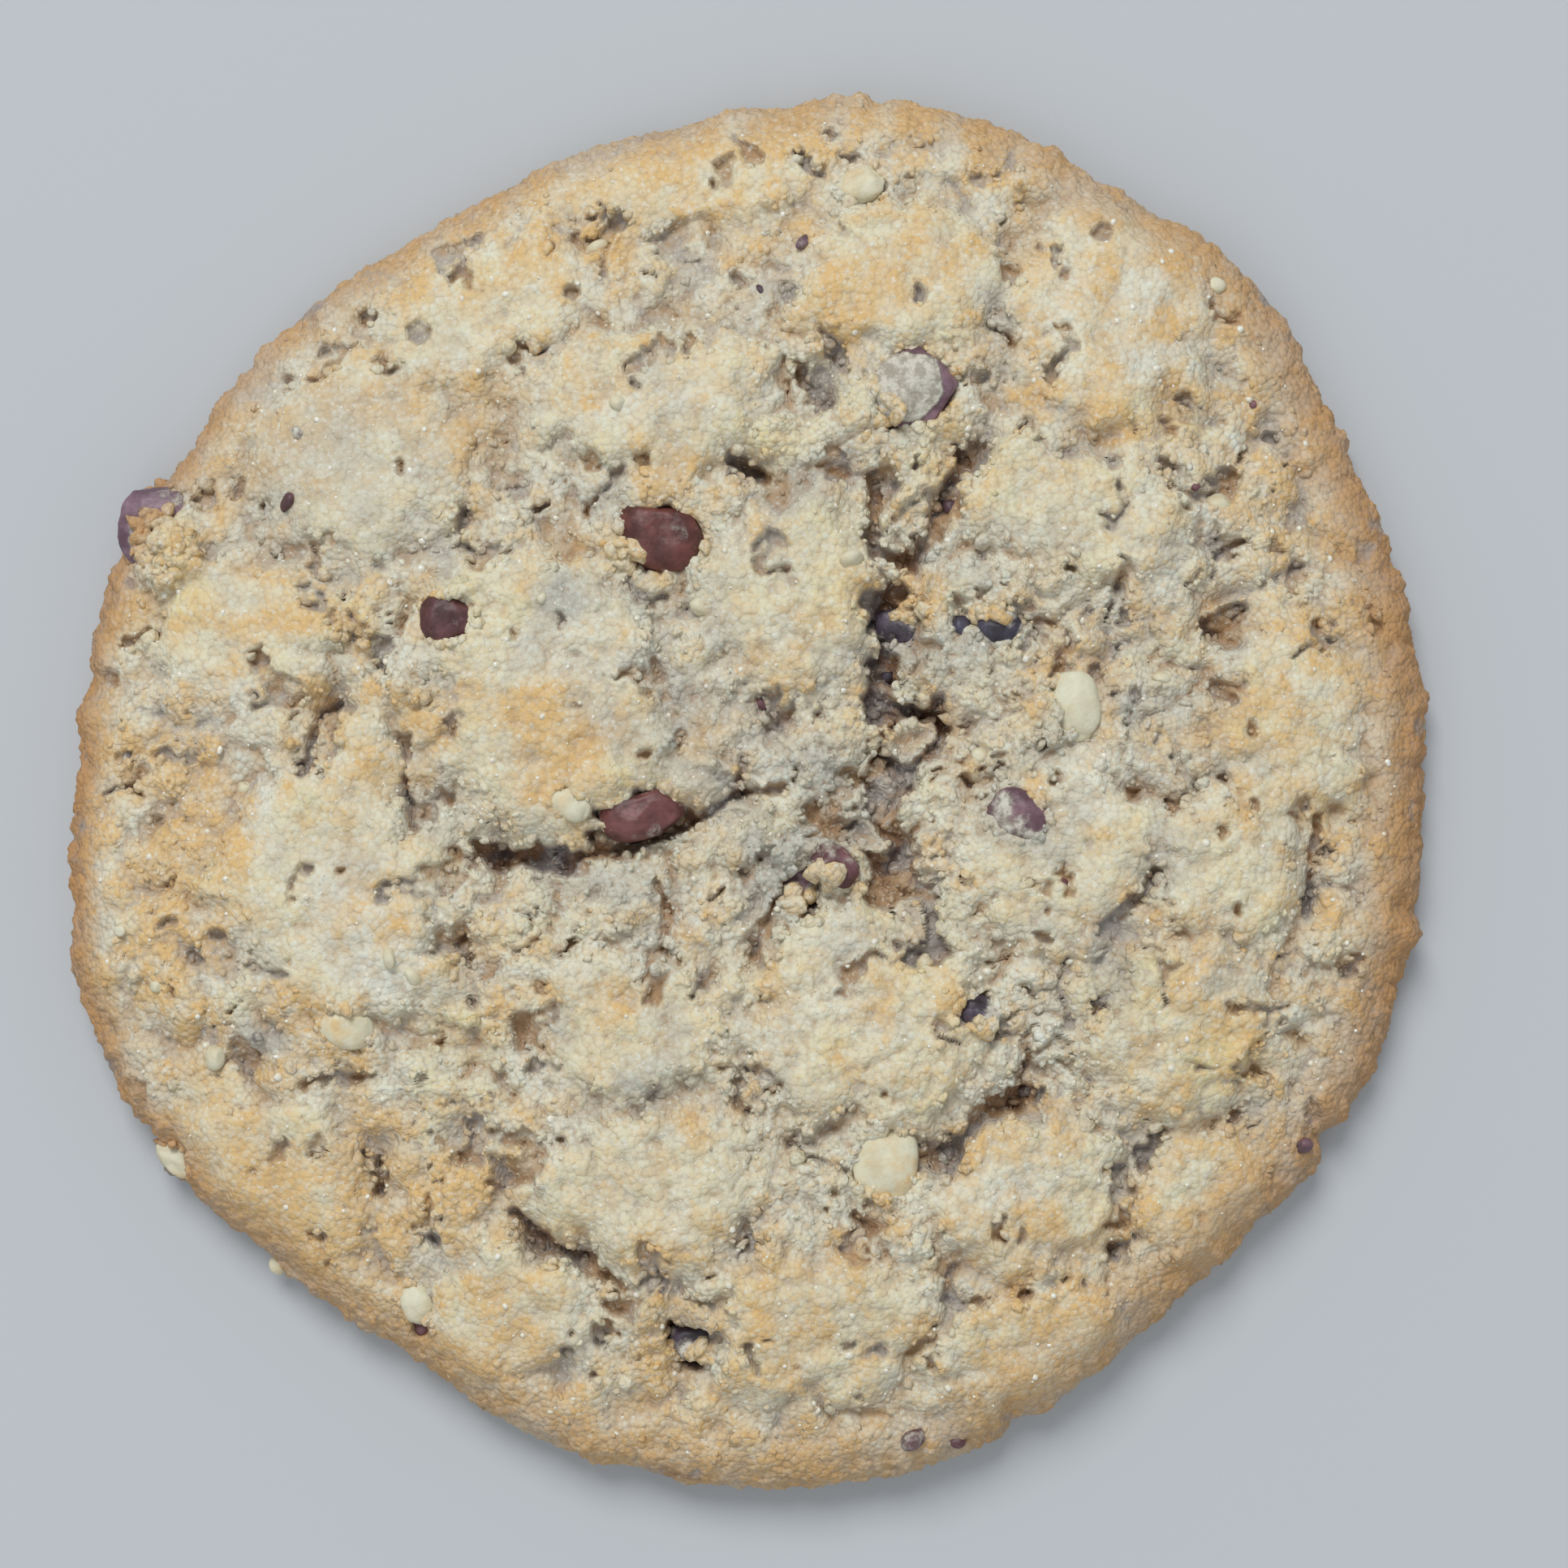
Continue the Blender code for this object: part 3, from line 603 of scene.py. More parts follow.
def coarse_relief(x, y):
    """The solids' own relief, which the chips and nuts are set by."""
    warped_x, warped_y = wander(x, y)
    raised, _ = plates(warped_x, warped_y, 1.12, 0.28)
    sunk = np.zeros_like(x)
    for _, half_width, deepest, points in CRACKS:
        away = path_distance(warped_x, warped_y, points)
        sunk = np.maximum(sunk, deepest * smooth(1.25 - away / (1.7 * max(half_width, 1))))
    return heave(x, y) + 0.3 * noise(x, y, 3, 23) + raised - sunk


def linear(red, green, blue):
    """A display colour from 0 to 255 as linear light."""
    display = np.array((red, green, blue)) / 255
    light = np.where(display <= 0.04045, display / 12.92, ((display + 0.055) / 1.055) ** 2.4)
    return (*map(float, light), 1.0)


class Nodes:
    """Short calls for building a material's nodes."""

    def __init__(self, name):
        self.material = bpy.data.materials.new(name)
        self.material.use_nodes = True
        self.tree = self.material.node_tree
        self.surface = self.tree.nodes["Principled BSDF"]

    def add(self, kind, **values):
        node = self.tree.nodes.new(f"ShaderNode{kind}")
        for key, value in values.items():
            if key in node.inputs:
                self.feed(node.inputs[key], value)
            else:
                setattr(node, key, value)
        return node

    def feed(self, socket, value):
        if hasattr(value, "is_output"):
            self.tree.links.new(value, socket)
        else:
            socket.default_value = value

    def place(self):
        return self.add("TexCoord").outputs["Object"]

    def shifted(self, far):
        """The same coordinates moved, for a pattern of its own."""
        moved = self.add("Mapping", Vector=self.place(), Location=(far, 2 * far, -far))
        return moved.outputs["Vector"]

    def mask(self, name):
        return self.add("Attribute", attribute_name=name).outputs["Fac"]

    def noise(self, scale, detail, roughness, where=None):
        node = self.add("TexNoise", Scale=scale, Detail=detail, Roughness=roughness)
        self.feed(node.inputs["Vector"], where or self.place())
        return node.outputs["Fac"]

    def cells(self, scale):
        """How far each grain's middle is, and two numbers of the grain's own."""
        node = self.add("TexVoronoi", Scale=scale)
        self.feed(node.inputs["Vector"], self.place())
        own = self.add("SeparateColor", Color=node.outputs["Color"])
        return node.outputs["Distance"], own.outputs["Red"], own.outputs["Green"]

    def ramp(self, value, low, high):
        """0 below low, 1 above high, with a soft step between."""
        node = self.add("MapRange", interpolation_type="SMOOTHSTEP")
        for key, number in (("Value", value), ("From Min", low), ("From Max", high)):
            self.feed(node.inputs[key], number)
        return node.outputs["Result"]

    def math(self, operation, first, second):
        node = self.add("Math", operation=operation)
        self.feed(node.inputs[0], first)
        self.feed(node.inputs[1], second)
        return node.outputs[0]

    def times(self, first, second):
        return self.math("MULTIPLY", first, second)

    def plus(self, first, second):
        return self.math("ADD", first, second)

    def mix(self, share, first, second):
        node = self.add("Mix", data_type="RGBA")
        self.feed(node.inputs[0], share)
        self.feed(node.inputs[6], first)
        self.feed(node.inputs[7], second)
        return node.outputs[2]

    def bump(self, height, distance, strength):
        node = self.add("Bump", Distance=distance, Strength=strength)
        self.feed(node.inputs["Height"], height)
        self.feed(self.surface.inputs["Normal"], node.outputs["Normal"])

    def finish(self, colour, roughness, specular):
        """Feeds the surface, and gives back the material."""
        self.feed(self.surface.inputs["Base Color"], colour)
        self.feed(self.surface.inputs["Roughness"], roughness)
        self.feed(self.surface.inputs["Specular IOR Level"], specular)
        return self.material


# Colours as they would be in plain daylight, but the browns, greys and dark purple of hollows,
# creases and deep places are painted shade.
CRUMB_CREAM = linear(216, 213, 193)
CRUST_TAN = linear(219, 211, 182)
BROWN_CRUST = linear(218, 182, 124)
# The toasted rim's brown, which is also painted shade where its band widens on the lower right.
TOASTED_AND_SHADED = linear(184, 136, 88)
# Painted shade for hollows, creases, low places, grain edges and pores.
SHADE_BROWN = linear(168, 134, 98)
SHADE_GREY = linear(160, 152, 146)
# Painted shade for the deepest cracks and pits.
DARK_BROWN = linear(112, 76, 54)
DARK_PURPLE = linear(92, 78, 80)
FLOURY = linear(224, 226, 215)
GREYISH = linear(176, 175, 166)
YOLK = linear(227, 211, 148)
FLOOR_GREY = linear(190, 193, 196)

# The darkest and the lightest of each kind.
CHESTNUT = (linear(76, 37, 32), linear(120, 68, 62))
MAUVE_BLOOM = (linear(98, 72, 82), linear(142, 114, 126))
BLUE_BLACK = (linear(40, 34, 42), linear(84, 80, 96))
DUSTY_CRUMB = (linear(166, 158, 142), linear(208, 202, 188))
NUT_CREAM = (linear(216, 212, 186), linear(205, 198, 170))
SUGAR_WHITE = (linear(222, 214, 192), linear(238, 237, 226))

# How fine each pattern is, in repeats to a metre.
BLOTCH_SCALE = 260.0
CHOCOLATE_SCALE = 500.0
NUT_SCALE = 800.0
GRAIN_SCALE = 1300.0
PORE_SCALE = 2000.0
CELL_SCALE = 2200.0
FLECK_SCALE = 2700.0
SUGAR_SCALE = 3000.0


def dough_material():
    n = Nodes("baked_dough_look")
    grain = n.noise(GRAIN_SCALE, 4.0, 0.65)
    away, light, warm = n.cells(CELL_SCALE)
    blotch = n.noise(BLOTCH_SCALE, 3.0, 0.6, n.shifted(0.17))
    flecks = n.noise(FLECK_SCALE, 1.0, 0.5, n.shifted(0.67))
    pores = n.noise(PORE_SCALE, 2.0, 0.5, n.shifted(0.43))
    broken = n.math("SUBTRACT", 1.0, n.times(n.mask("crust"), 0.35))
    untoasted = n.math("SUBTRACT", 1.0, n.mask("toast"))
    golden = n.plus(n.mask("brown"), n.times(n.ramp(warm, 0.3, 1.0), 0.28))
    golden = n.plus(golden, n.times(n.ramp(blotch, 0.48, 0.68), 0.36))
    cool = n.ramp(blotch, 0.42, 0.62)
    # The colours of the painted shade in the recesses, browner or greyer from blotch to blotch.
    painted_shade = n.mix(cool, SHADE_BROWN, SHADE_GREY)
    dark = n.mix(cool, DARK_BROWN, DARK_PURPLE)
    base = n.mix(n.mask("crust"), CRUMB_CREAM, CRUST_TAN)
    for share, strength, colour in (
        (n.mask("yellow"), 0.8, YOLK),
        (n.mask("pale"), 0.7, FLOURY),
        (n.math("MINIMUM", golden, 1.0), 1.0, BROWN_CRUST),
        # The rim's toast, which is partly painted shade on its lower right side.
        (n.mask("toast"), 0.9, TOASTED_AND_SHADED),
        (n.mask("grey"), 0.8, GREYISH),
        (n.ramp(light, 0.55, 1.0), n.times(untoasted, 0.24), FLOURY),
        (n.ramp(grain, 0.50, 0.74), n.times(untoasted, 0.36), FLOURY),
        # Painted shade: darker at the grains' edges, in low places, creases and hollows, darkest in
        # the deepest places.
        (n.times(n.ramp(away, 0.45, 0.85), broken), 0.3, painted_shade),
        (n.mask("low"), 0.45, painted_shade),
        (n.mask("crease"), 0.4, painted_shade),
        (n.mask("hollow"), 0.8, painted_shade),
        (n.mask("deep"), 0.74, dark),
        (n.ramp(flecks, 0.62, 0.70), n.times(untoasted, 0.45), FLOURY),
        # Painted shade in tiny pores.
        (n.ramp(pores, 0.34, 0.26), 0.45, SHADE_BROWN),
    ):
        base = n.mix(n.times(share, strength), base, colour)
    n.bump(n.math("SUBTRACT", grain, n.times(n.times(away, away), broken)), 0.0003, 0.6)
    return n.finish(base, 0.74, 0.3)


def chocolate_material():
    n = Nodes("chocolate_look")
    grain = n.noise(CHOCOLATE_SCALE, 3.0, 0.6)
    dust = n.noise(GRAIN_SCALE, 4.0, 0.65)
    tone = n.ramp(grain, 0.35, 0.7)
    base = n.mix(n.mask("mauve"), n.mix(tone, *CHESTNUT), n.mix(tone, *MAUVE_BLOOM))
    # The black chips, and the painted shade on the eighth chip.
    base = n.mix(n.mask("dark"), base, n.mix(tone, *BLUE_BLACK))
    coated = n.ramp(n.plus(n.mask("coat"), n.times(dust, 0.9)), 0.70, 1.15)
    base = n.mix(coated, base, n.mix(n.ramp(dust, 0.4, 0.6), *DUSTY_CRUMB))
    n.bump(n.plus(grain, n.times(coated, dust)), 0.0004, 0.6)
    return n.finish(base, n.plus(n.times(coated, 0.3), 0.48), 0.5)


def nut_material():
    n = Nodes("nut_look")
    grain = n.noise(NUT_SCALE, 3.0, 0.6)
    tone = n.ramp(grain, 0.35, 0.7)
    tan = n.mix(tone, CRUST_TAN, BROWN_CRUST)
    base = n.mix(n.mask("coat"), n.mix(tone, *NUT_CREAM), tan)
    n.bump(grain, 0.0003, 0.5)
    return n.finish(base, 0.55, 0.35)


def sugar_material():
    n = Nodes("sugar_look")
    grain = n.noise(SUGAR_SCALE, 2.0, 0.5)
    base = n.mix(n.ramp(grain, 0.4, 0.7), *SUGAR_WHITE)
    n.bump(grain, 0.0001, 0.5)
    return n.finish(base, 0.28, 0.6)


def put_in_scene(name, data):
    thing = bpy.data.objects.new(name, data)
    bpy.context.scene.collection.objects.link(thing)
    return thing


def new_mesh(name, points, faces):
    mesh = bpy.data.meshes.new(name)
    mesh.from_pydata((points * MM).tolist(), [], faces.tolist())
    return mesh


def new_object(name, mesh, kind, *nodes):
    """An object with the material of its kind; the kind's slot name is not used."""
    material, slot = kind
    mesh.shade_smooth()
    mesh.materials.clear()
    mesh.materials.append(material)
    thing = put_in_scene(name, mesh)
    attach(thing, "root")
    if nodes:
        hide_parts(*nodes)


def positions(mesh):
    flat = np.empty(len(mesh.vertices) * 3, dtype=np.float32)
    mesh.vertices.foreach_get("co", flat)
    return flat.reshape(-1, 3).astype(float)


def write_mask(mesh, name, values):
    made = mesh.attributes.new(name, "FLOAT", "POINT")
    made.data.foreach_set("value", np.ascontiguousarray(values, dtype=np.float32))


def disc_of_square(u, v):
    """(radius, angle) in the unit disc of a point of the square from -1 to 1, areas kept."""
    wide = np.abs(u) >= np.abs(v)
    longer = np.where(wide, u, v)
    safe = np.where(np.abs(longer) < 1e-9, 1.0, longer)
    slant = np.where(wide, v, u) / safe * math.pi / 4
    angle = np.where(wide, slant, math.pi / 2 - slant)
    return np.abs(longer), np.where(longer < 0, angle + math.pi, angle)


def dough_points(u, v):
    """Rounds the flat grid over the top, the shoulder and the foot of the rim."""
    reach, angle = disc_of_square(u, v)
    rim = rim_radius(angle)
    on_side = np.clip((reach - 1 + RIM_SHARE) / RIM_SHARE, 0, 1)
    shoulder = np.clip(on_side / SHOULDER_SHARE, 0, 1) * math.pi / 2
    foot = np.clip((on_side - SHOULDER_SHARE) / FOOT_SHARE, 0, 1) * math.pi / 2
    below = on_side > SHOULDER_SHARE
    inward = np.where(below, FOOT_RUN * (1 - np.cos(foot)), EDGE_RUN * (1 - np.sin(shoulder)))
    inner = (rim - EDGE_RUN) * np.clip(reach / (1 - RIM_SHARE), 0, 1)
    radius = np.where(on_side > 0, rim - inward, inner)
    upper = WIDEST_HEIGHT + (EDGE_HEIGHT - WIDEST_HEIGHT) * np.cos(shoulder)
    z = np.where(below, WIDEST_HEIGHT * (1 - np.sin(foot)), upper)
    rise = np.where(below, 0.0, dome_rise(rim - radius))
    # Millimetres round the rim and down its side.
    around, down = angle * 52.0, on_side * 8.0
    lumps = 0.9 * (billow(around, down, 1.9, 72, 3) - 0.33)
    wave = 0.35 * rough(around, down, 3.4, 71) + lumps - 0.1
    for notch_x, notch_y, half_width, depth in NOTCHES:
        away = np.hypot(rim * np.cos(angle) - notch_x, rim * np.sin(angle) - notch_y)
        wave = wave - depth * smooth(1.2 - away / half_width)
    out = np.where(below, np.cos(foot), smooth(on_side / 0.4)) * wave
    x, y = (radius + out) * np.cos(angle), (radius + out) * np.sin(angle)
    fade = np.where(below, 0.0, smooth((rim - radius) / EDGE_RUN))
    z = z + rise + fade * RELIEF.at("relief", x, y)
    bare = np.where(below, 0.0, 1 - fade) * (on_side > 0)
    z = z + bare * (0.8 * wave * np.cos(shoulder) - 0.7 * RELIEF.at("socket", x, y))
    return np.stack((x, y, z), axis=1)


def lay_out_map(mesh):
    """The top's grid fills most of the map, and the underside lies in the corner left over."""
    layer = mesh.uv_layers["OFBake"].data
    flat = np.empty(len(layer) * 2, dtype=np.float32)
    layer.foreach_get("uv", flat)
    places = flat.reshape(-1, 2) * TOP_SHARE
    underside = max(mesh.polygons, key=lambda face: face.loop_total)
    for corner in underside.loop_indices:
        at = mesh.vertices[mesh.loops[corner].vertex_index].co
        places[corner] = (UNDERSIDE_SPOT[0] + at.x, UNDERSIDE_SPOT[1] + at.y)
    layer.foreach_set("uv", places.ravel())


def make_dough(kind):
    """A fine grid over the relief, thinned where it is plain, on one flat underside."""
    bpy.ops.mesh.primitive_grid_add(x_subdivisions=DOUGH_CELLS, y_subdivisions=DOUGH_CELLS, size=2)
    rough_dough = bpy.context.object
    mesh = rough_dough.data
    mesh.uv_layers[0].name = "OFBake"
    flat = positions(mesh)
    points = dough_points(flat[:, 0], flat[:, 1])
    shaped = np.ascontiguousarray((points - ORIGIN) * MM, dtype=np.float32)
    mesh.vertices.foreach_set("co", shaped.ravel())
    mesh.update()
    bm = bmesh.new()
    bm.from_mesh(mesh)
    bmesh.ops.contextual_create(bm, geom=[edge for edge in bm.edges if edge.is_boundary])
    bmesh.ops.recalc_face_normals(bm, faces=bm.faces)
    bm.to_mesh(mesh)
    bm.free()
    lay_out_map(mesh)
    thin = rough_dough.modifiers.new("Thin", "DECIMATE")
    thin.ratio = DOUGH_TRIANGLES / (2 * DOUGH_CELLS**2)
    seen = rough_dough.evaluated_get(bpy.context.evaluated_depsgraph_get())
    thinned = bpy.data.meshes.new_from_object(seen)
    bpy.data.objects.remove(rough_dough)
    places = positions(thinned) / MM + ORIGIN
    for name in MASKS:
        write_mask(thinned, name, RELIEF.at(name, places[:, 0], places[:, 1]))
    new_object("baked_dough", thinned, kind, "dough")


def surface_at(x, y):
    plain, share = plain_top(x, y)
    return plain + share * RELIEF.at("relief", x, y)


def piece_level(row):
    """The height of a piece's middle: what the solids have."""
    x, y = np.array([row[0]]), np.array([row[1]])
    plain, share = plain_top(x, y)
    return float((plain + share * coarse_relief(x, y))[0]) + row[6]


def broken_ball(ball, seed, flats):
    """How far out a chunk reaches each way: a ball with flats cut off."""
    rng = np.random.default_rng(seed)
    out = np.ones(len(ball))
    for _ in range(flats):
        way = rng.normal(size=3)
        way /= np.linalg.norm(way)
        flat = rng.uniform(0.78, 0.94)
        out = np.minimum(out, flat / np.maximum(ball @ way, 0.05))
    return out


def unit_lump(subdivisions):
    bm = bmesh.new()
    bmesh.ops.create_icosphere(bm, subdivisions=subdivisions, radius=1.0)
    bm.verts.ensure_lookup_table()
    points = np.array([vert.co[:] for vert in bm.verts])
    faces = np.array([[vert.index for vert in face.verts] for face in bm.faces])
    bm.free()
    return points, faces


def make_piece(name, row, seed, flats, look, kind):
    """A broken chunk in the place of one of the solids' chips or pieces of nut."""
    x, y, length, width, height, turn, _ = row
    coat, dark, mauve = look
    ball, faces = unit_lump(5 if length > 5.5 else 4)
    boxy = (np.abs(ball) ** 2.4).sum(axis=1) ** (-1 / 2.4)
    out = 1.05 * boxy * broken_ball(ball, seed, flats)
    around, along = ball[:, 0] + 2 * ball[:, 2], ball[:, 1] - ball[:, 2]
    jagged = 1.0 if length > 4.3 else 1.8
    out = out + 0.06 * jagged * noise(around, along, 0.8, seed)
    out = out + 0.025 * jagged * noise(around, along, 0.3, seed + 1)
    local = ball * out[:, None] * np.array((length, width, height)) / 2
    dust = rough(local[:, 0], local[:, 1], 2.6, seed + 2)
    if name == PATCHED_CHIP:
        off_x, off_y = local[:, 0] - PATCH_MIDDLE[0], local[:, 1] - PATCH_MIDDLE[1]
        coat = coat + smooth((0.95 - 2 * np.hypot(off_x / length, off_y / width)) / 0.25)
    coated = np.clip(coat + 0.9 * dust, 0, 1)
    crumbs = 0.25 * billow(local[:, 0], local[:, 1], 1.2, seed + 3)
    local[:, 2] += np.where(local[:, 2] > 0, 1, 0) * smooth((coated - 0.4) / 0.3) * crumbs
    turned = np.array(Matrix.Rotation(math.radians(turn), 3, "Z"))
    places = local @ turned.T + np.array((x, y, piece_level(row)))
    mesh = new_mesh(name, places - ORIGIN, faces)
    for mask, value in (("coat", coated), ("dark", dark), ("mauve", mauve)):
        write_mask(mesh, mask, np.broadcast_to(value, len(ball)))
    new_object(f"{name}_look", mesh, kind, name)


def random_turns(rng, count):
    """Random rotations, as matrices."""
    q = rng.normal(size=(count, 4))
    q /= np.linalg.norm(q, axis=1)[:, None]
    w, x, y, z = q.T
    rows = (
        (1 - 2 * (y * y + z * z), 2 * (x * y - z * w), 2 * (x * z + y * w)),
        (2 * (x * y + z * w), 1 - 2 * (x * x + z * z), 2 * (y * z - x * w)),
        (2 * (x * z - y * w), 2 * (y * z + x * w), 1 - 2 * (x * x + y * y)),
    )
    return np.array(rows).transpose(2, 0, 1)


def scatter(name, where, sizes, dent, subdivisions, rng, kind, masks):
    """One joined mesh of uneven lumps, with their middles at this x, y and z."""
    points, faces = unit_lump(subdivisions)
    places = np.stack(where, axis=1) - ORIGIN
    count = len(places)
    uneven = 1 + dent * rng.normal(size=(count, len(points)))
    broken = np.array([broken_ball(points, seed, CRUMB_FLATS) for seed in range(CRUMB_KINDS)])
    uneven = (uneven * broken[rng.integers(0, CRUMB_KINDS, count)])[:, :, None]
    local = points[None] * uneven * sizes[:, None, :]
    spun = np.einsum("nij,npj->npi", random_turns(rng, count), local)
    verts = (spun + places[:, None, :]).reshape(-1, 3)
    every = (faces[None] + (np.arange(count) * len(points))[:, None, None]).reshape(-1, 3)
    mesh = new_mesh(name, verts, every)
    for mask, values in masks.items():
        write_mask(mesh, mask, np.repeat(values, len(points)))
    new_object(name, mesh, kind)


def spread(rng, count):
    """Even random places over the cookie's top, short of its shoulder."""
    angle = rng.uniform(0, math.tau, count)
    radius = (rim_radius(angle) - SHOULDER_MARGIN) * np.sqrt(rng.uniform(0, 1, count))
    return radius * np.cos(angle), radius * np.sin(angle)


def clear_of_pieces(x, y):
    return np.all([piece_reach(x, y, row, 0.3) > 1 for row in PIECES], axis=0)


def chosen(rng, x, y, wanted):
    """The places kept: each as likely as wanted says, none over a piece."""
    keep = (rng.uniform(0, 1, len(x)) < wanted) & clear_of_pieces(x, y)
    return x[keep], y[keep]


def make_specks(name, rows, kind):
    """Small broken bits in the dough's surface."""
    rng = np.random.default_rng(SPECK_SEEDS[name])
    x, y, size, dark, coat = np.array(rows).T
    z = surface_at(x, y) - 0.14 * size
    sizes = 0.5 * size[:, None] * rng.uniform(0.45, 1.35, (len(x), 3))
    masks = {"coat": coat, "dark": dark, "mauve": np.full(len(x), 0.4)}
    scatter(name, (x, y, z), sizes, 0.0, 3, rng, kind, masks)


def edge_places(rng):
    """Places round the pieces' edges, where the dough clings to them."""
    places = []
    for piece_x, piece_y, length, width, _, turn, _ in PIECES:
        count = round(2.6 * (length + width))
        angle = rng.uniform(0, math.tau, count)
        reach = rng.uniform(0.9, 1.12, count) / 2
        along, across = reach * length * np.cos(angle), reach * width * np.sin(angle)
        cos, sin = math.cos(math.radians(turn)), math.sin(math.radians(turn))
        places.append((piece_x + along * cos - across * sin, piece_y + along * sin + across * cos))
    return np.concatenate(places, axis=1)


def lap_places(rng):
    """Places of crumbs on the chips, and how high the chips stand there."""
    places = []
    for number, lap_x, lap_y, half_x, half_y, count in LAPS:
        row = CHOCOLATE_CHIPS[number - 1]
        angle = rng.uniform(0, math.tau, count)
        reach = np.sqrt(rng.uniform(0, 1, count))
        x, y = lap_x + reach * half_x * np.cos(angle), lap_y + reach * half_y * np.sin(angle)
        round_top = np.sqrt(np.clip(1 - piece_reach(x, y, row) ** 2, 0.05, 1))
        places.append((x, y, piece_level(row) + row[4] / 2 * round_top))
    return np.concatenate(places, axis=1)


def crumb_masks(x, y, rng):
    """The dough's masks at each crumb, a little different for every one."""
    masks = {name: RELIEF.at(name, x, y) for name in MASKS}
    for name in ("yellow", "pale", "brown"):
        masks[name] = np.clip(masks[name] + rng.normal(0.0, 0.12, len(x)), 0, 1)
    # The painted shade of hollows, creases and low places is weaker on the crumbs.
    for name in ("hollow", "crease", "low"):
        masks[name] = 0.7 * masks[name]
    return masks


def make_crumbs(kind):
    """Crumbs that cling to the broken edges and lie in the hollows."""
    rng = np.random.default_rng(CRUMB_SEED)
    edge_x, edge_y = edge_places(rng)
    lap_x, lap_y, lap_z = lap_places(rng)
    laps = len(lap_x)
    x, y = spread(rng, CRUMB_PLACES)
    wanted = 0.9 * RELIEF.at("edge", x, y) + 0.2 * RELIEF.at("hollow", x, y)
    wanted = wanted + 0.04 * (1 - RELIEF.at("crust", x, y))
    x, y = chosen(rng, x, y, wanted)
    x = np.concatenate((lap_x, edge_x, x))[:CRUMBS]
    y = np.concatenate((lap_y, edge_y, y))[:CRUMBS]
    size = 0.26 + 0.46 * rng.beta(1.5, 3.5, len(x))
    size[:laps] = rng.uniform(0.45, 0.85, laps)
    sizes = size[:, None] * rng.uniform(0.6, 1.4, (len(x), 3))
    z = surface_at(x, y) - 0.4 * size
    z[:laps] = np.maximum(z[:laps], lap_z + 0.05)
    masks = crumb_masks(x, y, rng)
    # The crumbs that lie over chips get no painted shade and no grey.
    for name in ("hollow", "deep", "low", "crease", "grey"):
        masks[name][:laps] = 0.0
    masks["brown"][:laps] = rng.uniform(0.2, 0.8, laps)
    where = x, y, z
    scatter("crumbs", where, sizes, 0.14, 2, rng, kind, masks)


def make_fine_crumbs(kind):
    """Small grains that roughen the whole top, thinly on the crust."""
    rng = np.random.default_rng(FINE_SEED)
    x, y = spread(rng, FINE_PLACES)
    wanted = 0.35 * (1 - RELIEF.at("crust", x, y)) + 0.4 * RELIEF.at("edge", x, y)
    wanted = wanted * (0.3 + 0.7 * smooth(1.3 - from_crags(x, y)))
    x, y = chosen(rng, x, y, wanted)
    x, y = x[:FINE_CRUMBS], y[:FINE_CRUMBS]
    size = rng.uniform(0.17, 0.36, len(x))
    sizes = size[:, None] * rng.uniform(0.7, 1.3, (len(x), 3))
    where = x, y, surface_at(x, y) - 0.5 * size
    masks = crumb_masks(x, y, rng)
    scatter("fine_crumbs", where, sizes, 0.2, 1, rng, kind, masks)


def make_sugar(kind):
    """Sugar grains baked into the crust."""
    rng = np.random.default_rng(SUGAR_SEED)
    x, y = spread(rng, SUGAR_PLACES)
    keep = (RELIEF.at("hollow", x, y) < 0.3) & clear_of_pieces(x, y)
    x, y = x[keep], y[keep]
    size = 0.13 + 0.25 * rng.uniform(0, 1, (len(x), 1)) ** 3
    sizes = size * rng.uniform(0.75, 1.25, (len(x), 3))
    where = x, y, surface_at(x, y) - 0.4 * sizes[:, 2]
    scatter("sugar_grains", where, sizes, 0.05, 1, rng, kind, {})


# The floor's size and its gap below the cookie in metres, the sky, and the lamps: name, place
# in metres, width across, watts.
FLOOR_SIZE = 3.0
FLOOR_GAP = 0.0002
SKY_COLOUR = (0.86, 0.93, 1.0, 1.0)
SKY_STRENGTH = 0.47
LAMPS = (
    ("key", (-0.42, 1.44, 1.95), 1.2, 36.8),
    ("fill", (-0.3, -0.6, 1.0), 1.0, 1.9),
)


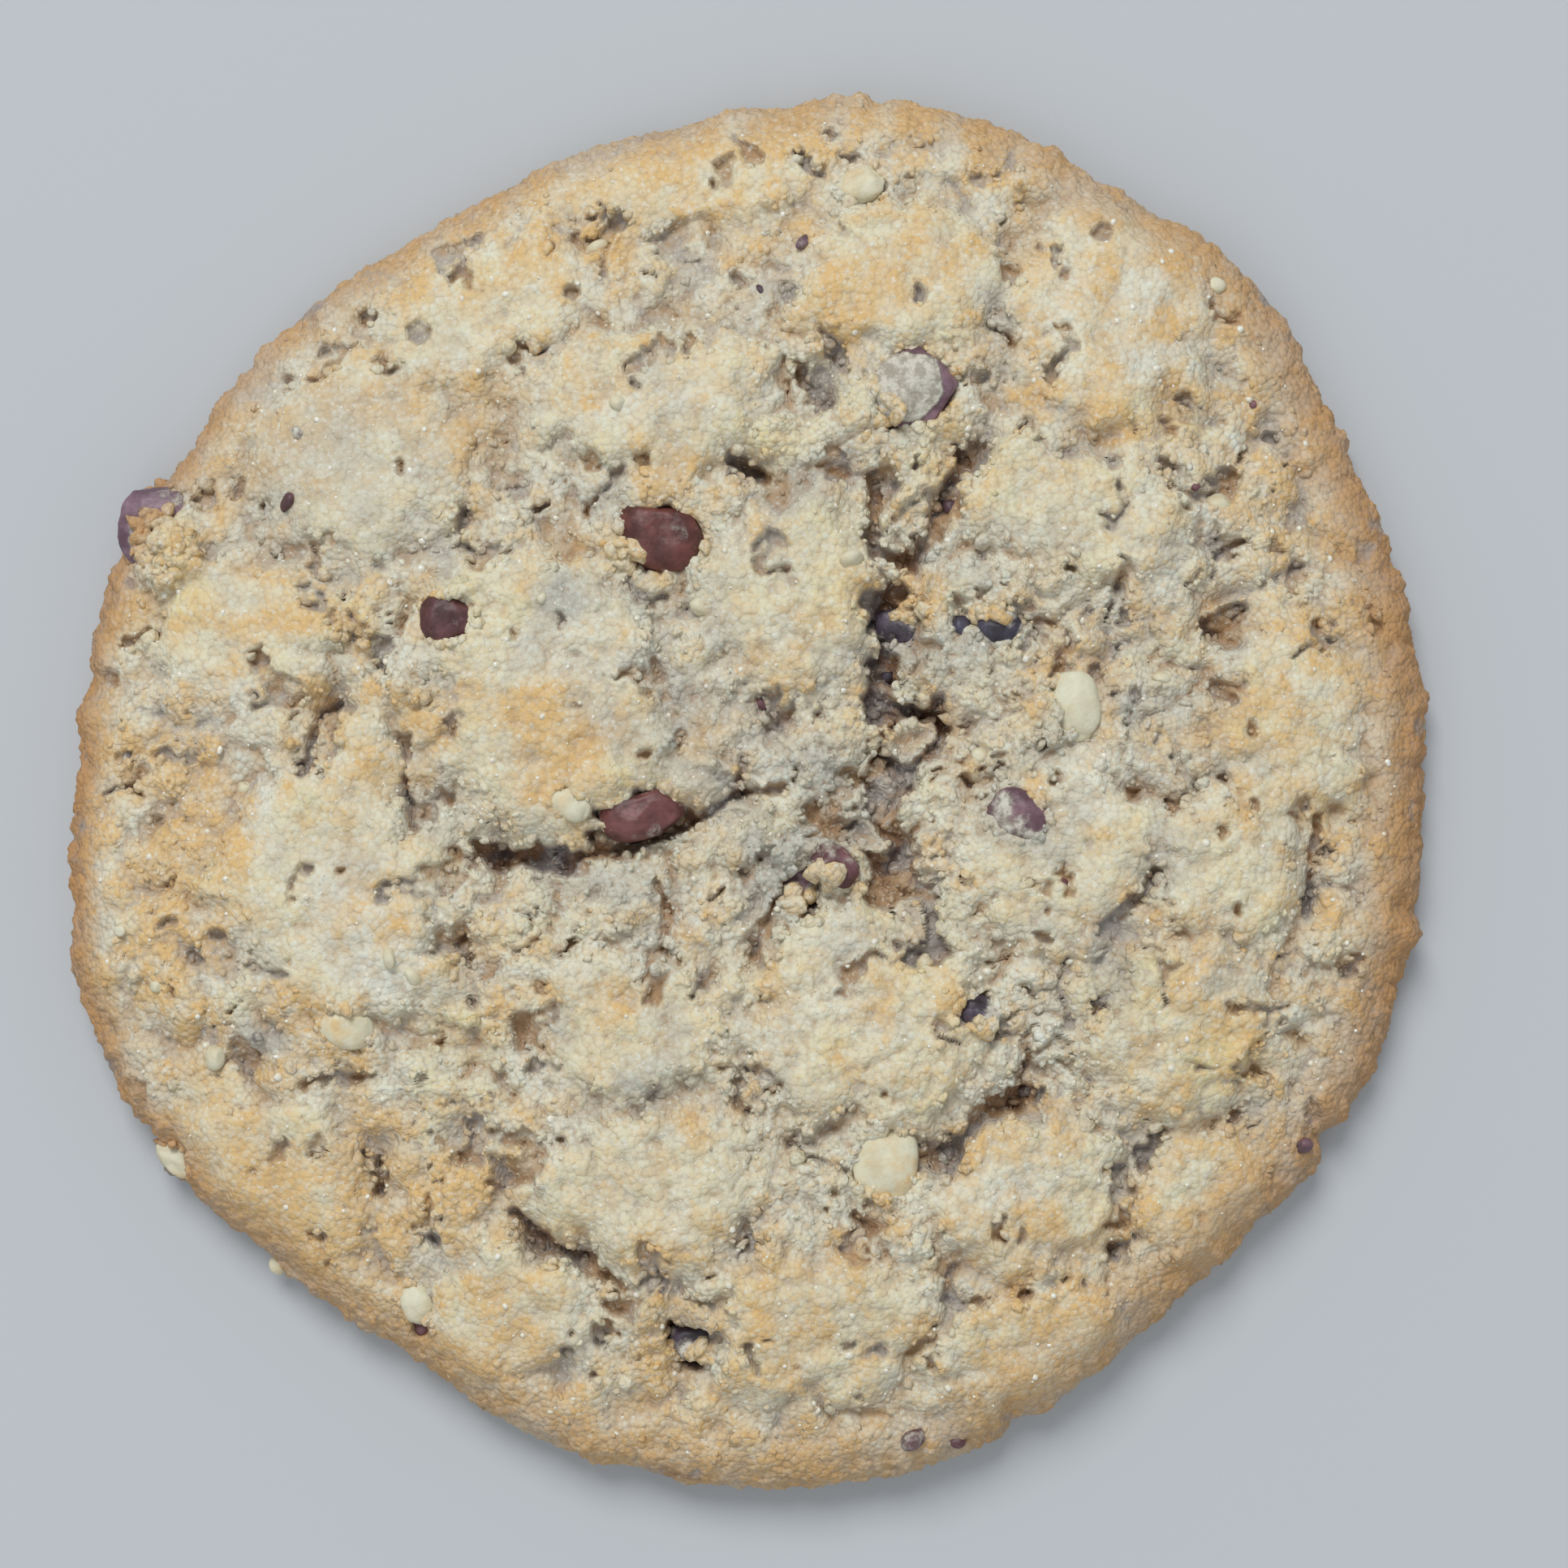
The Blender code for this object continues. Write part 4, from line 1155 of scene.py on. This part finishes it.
def floor_and_light():
    bpy.ops.mesh.primitive_plane_add(size=FLOOR_SIZE, location=(0, 0, -FLOOR_GAP))
    ground = bpy.context.object
    ground.name = "floor"
    ground.data.materials.append(Nodes("floor_look").finish(FLOOR_GREY, 0.9, 0.2))

    world = bpy.data.worlds.new("soft_light")
    world.use_nodes = True
    sky = world.node_tree.nodes["Background"]
    sky.inputs["Color"].default_value = SKY_COLOUR
    sky.inputs["Strength"].default_value = SKY_STRENGTH
    bpy.context.scene.world = world

    for name, place, size, power in LAMPS:
        light = bpy.data.lights.new(name, "AREA")
        light.shape = "DISK"
        light.size = size
        light.energy = power
        lamp = put_in_scene(name, light)
        lamp.location = place
        lamp.rotation_euler = (-Vector(place)).to_track_quat("-Z", "Y").to_euler()


# The photograph's side in pixels, the cookie's middle in it, and its scale at the rim's level.
PHOTO_SIDE = 1932
PHOTO_MIDDLE = (922, 973)
PIXELS_PER_MM = 16.0
LENS_MM, SENSOR_MM = 85.0, 36.0


def make_camera():
    wide = PHOTO_SIDE / PIXELS_PER_MM * MM
    camera = bpy.data.cameras.new("camera")
    camera.lens = LENS_MM
    camera.sensor_width = SENSOR_MM
    right = (PHOTO_SIDE / 2 - PHOTO_MIDDLE[0]) / PIXELS_PER_MM - ORIGIN[0]
    up = (PHOTO_MIDDLE[1] - PHOTO_SIDE / 2) / PIXELS_PER_MM - ORIGIN[1]
    eye = put_in_scene("camera", camera)
    eye.location = (right * MM, up * MM, WIDEST_HEIGHT * MM + wide * LENS_MM / SENSOR_MM)
    bpy.context.scene.camera = eye


def main():
    dough = dough_material(), "baked_dough"
    make_dough(dough)
    chocolate = chocolate_material(), "chocolate"
    nut = nut_material(), "nut"
    for number, (row, look) in enumerate(zip(CHOCOLATE_CHIPS, CHIP_LOOKS), 1):
        name = f"chocolate_chip_{number:02d}"
        make_piece(name, row, number, CHIP_FLATS, look, chocolate)
    for number, (row, tan) in enumerate(zip(NUT_PIECES, NUT_TANS), 1):
        name = f"nut_piece_{number:02d}"
        make_piece(name, row, NUT_SEED + number, NUT_FLATS, (tan, 0.0, 0.0), nut)
    make_specks("chocolate_specks", CHOCOLATE_SPECKS, chocolate)
    pale_specks = [(*row, 0.0, NUT_SPECK_TAN) for row in NUT_SPECKS]
    make_specks("nut_specks", pale_specks, nut)
    make_crumbs(dough)
    make_fine_crumbs(dough)
    make_sugar((sugar_material(), "baked_dough"))
    floor_and_light()
    make_camera()
    bpy.context.scene.view_settings.view_transform = "Standard"


main()
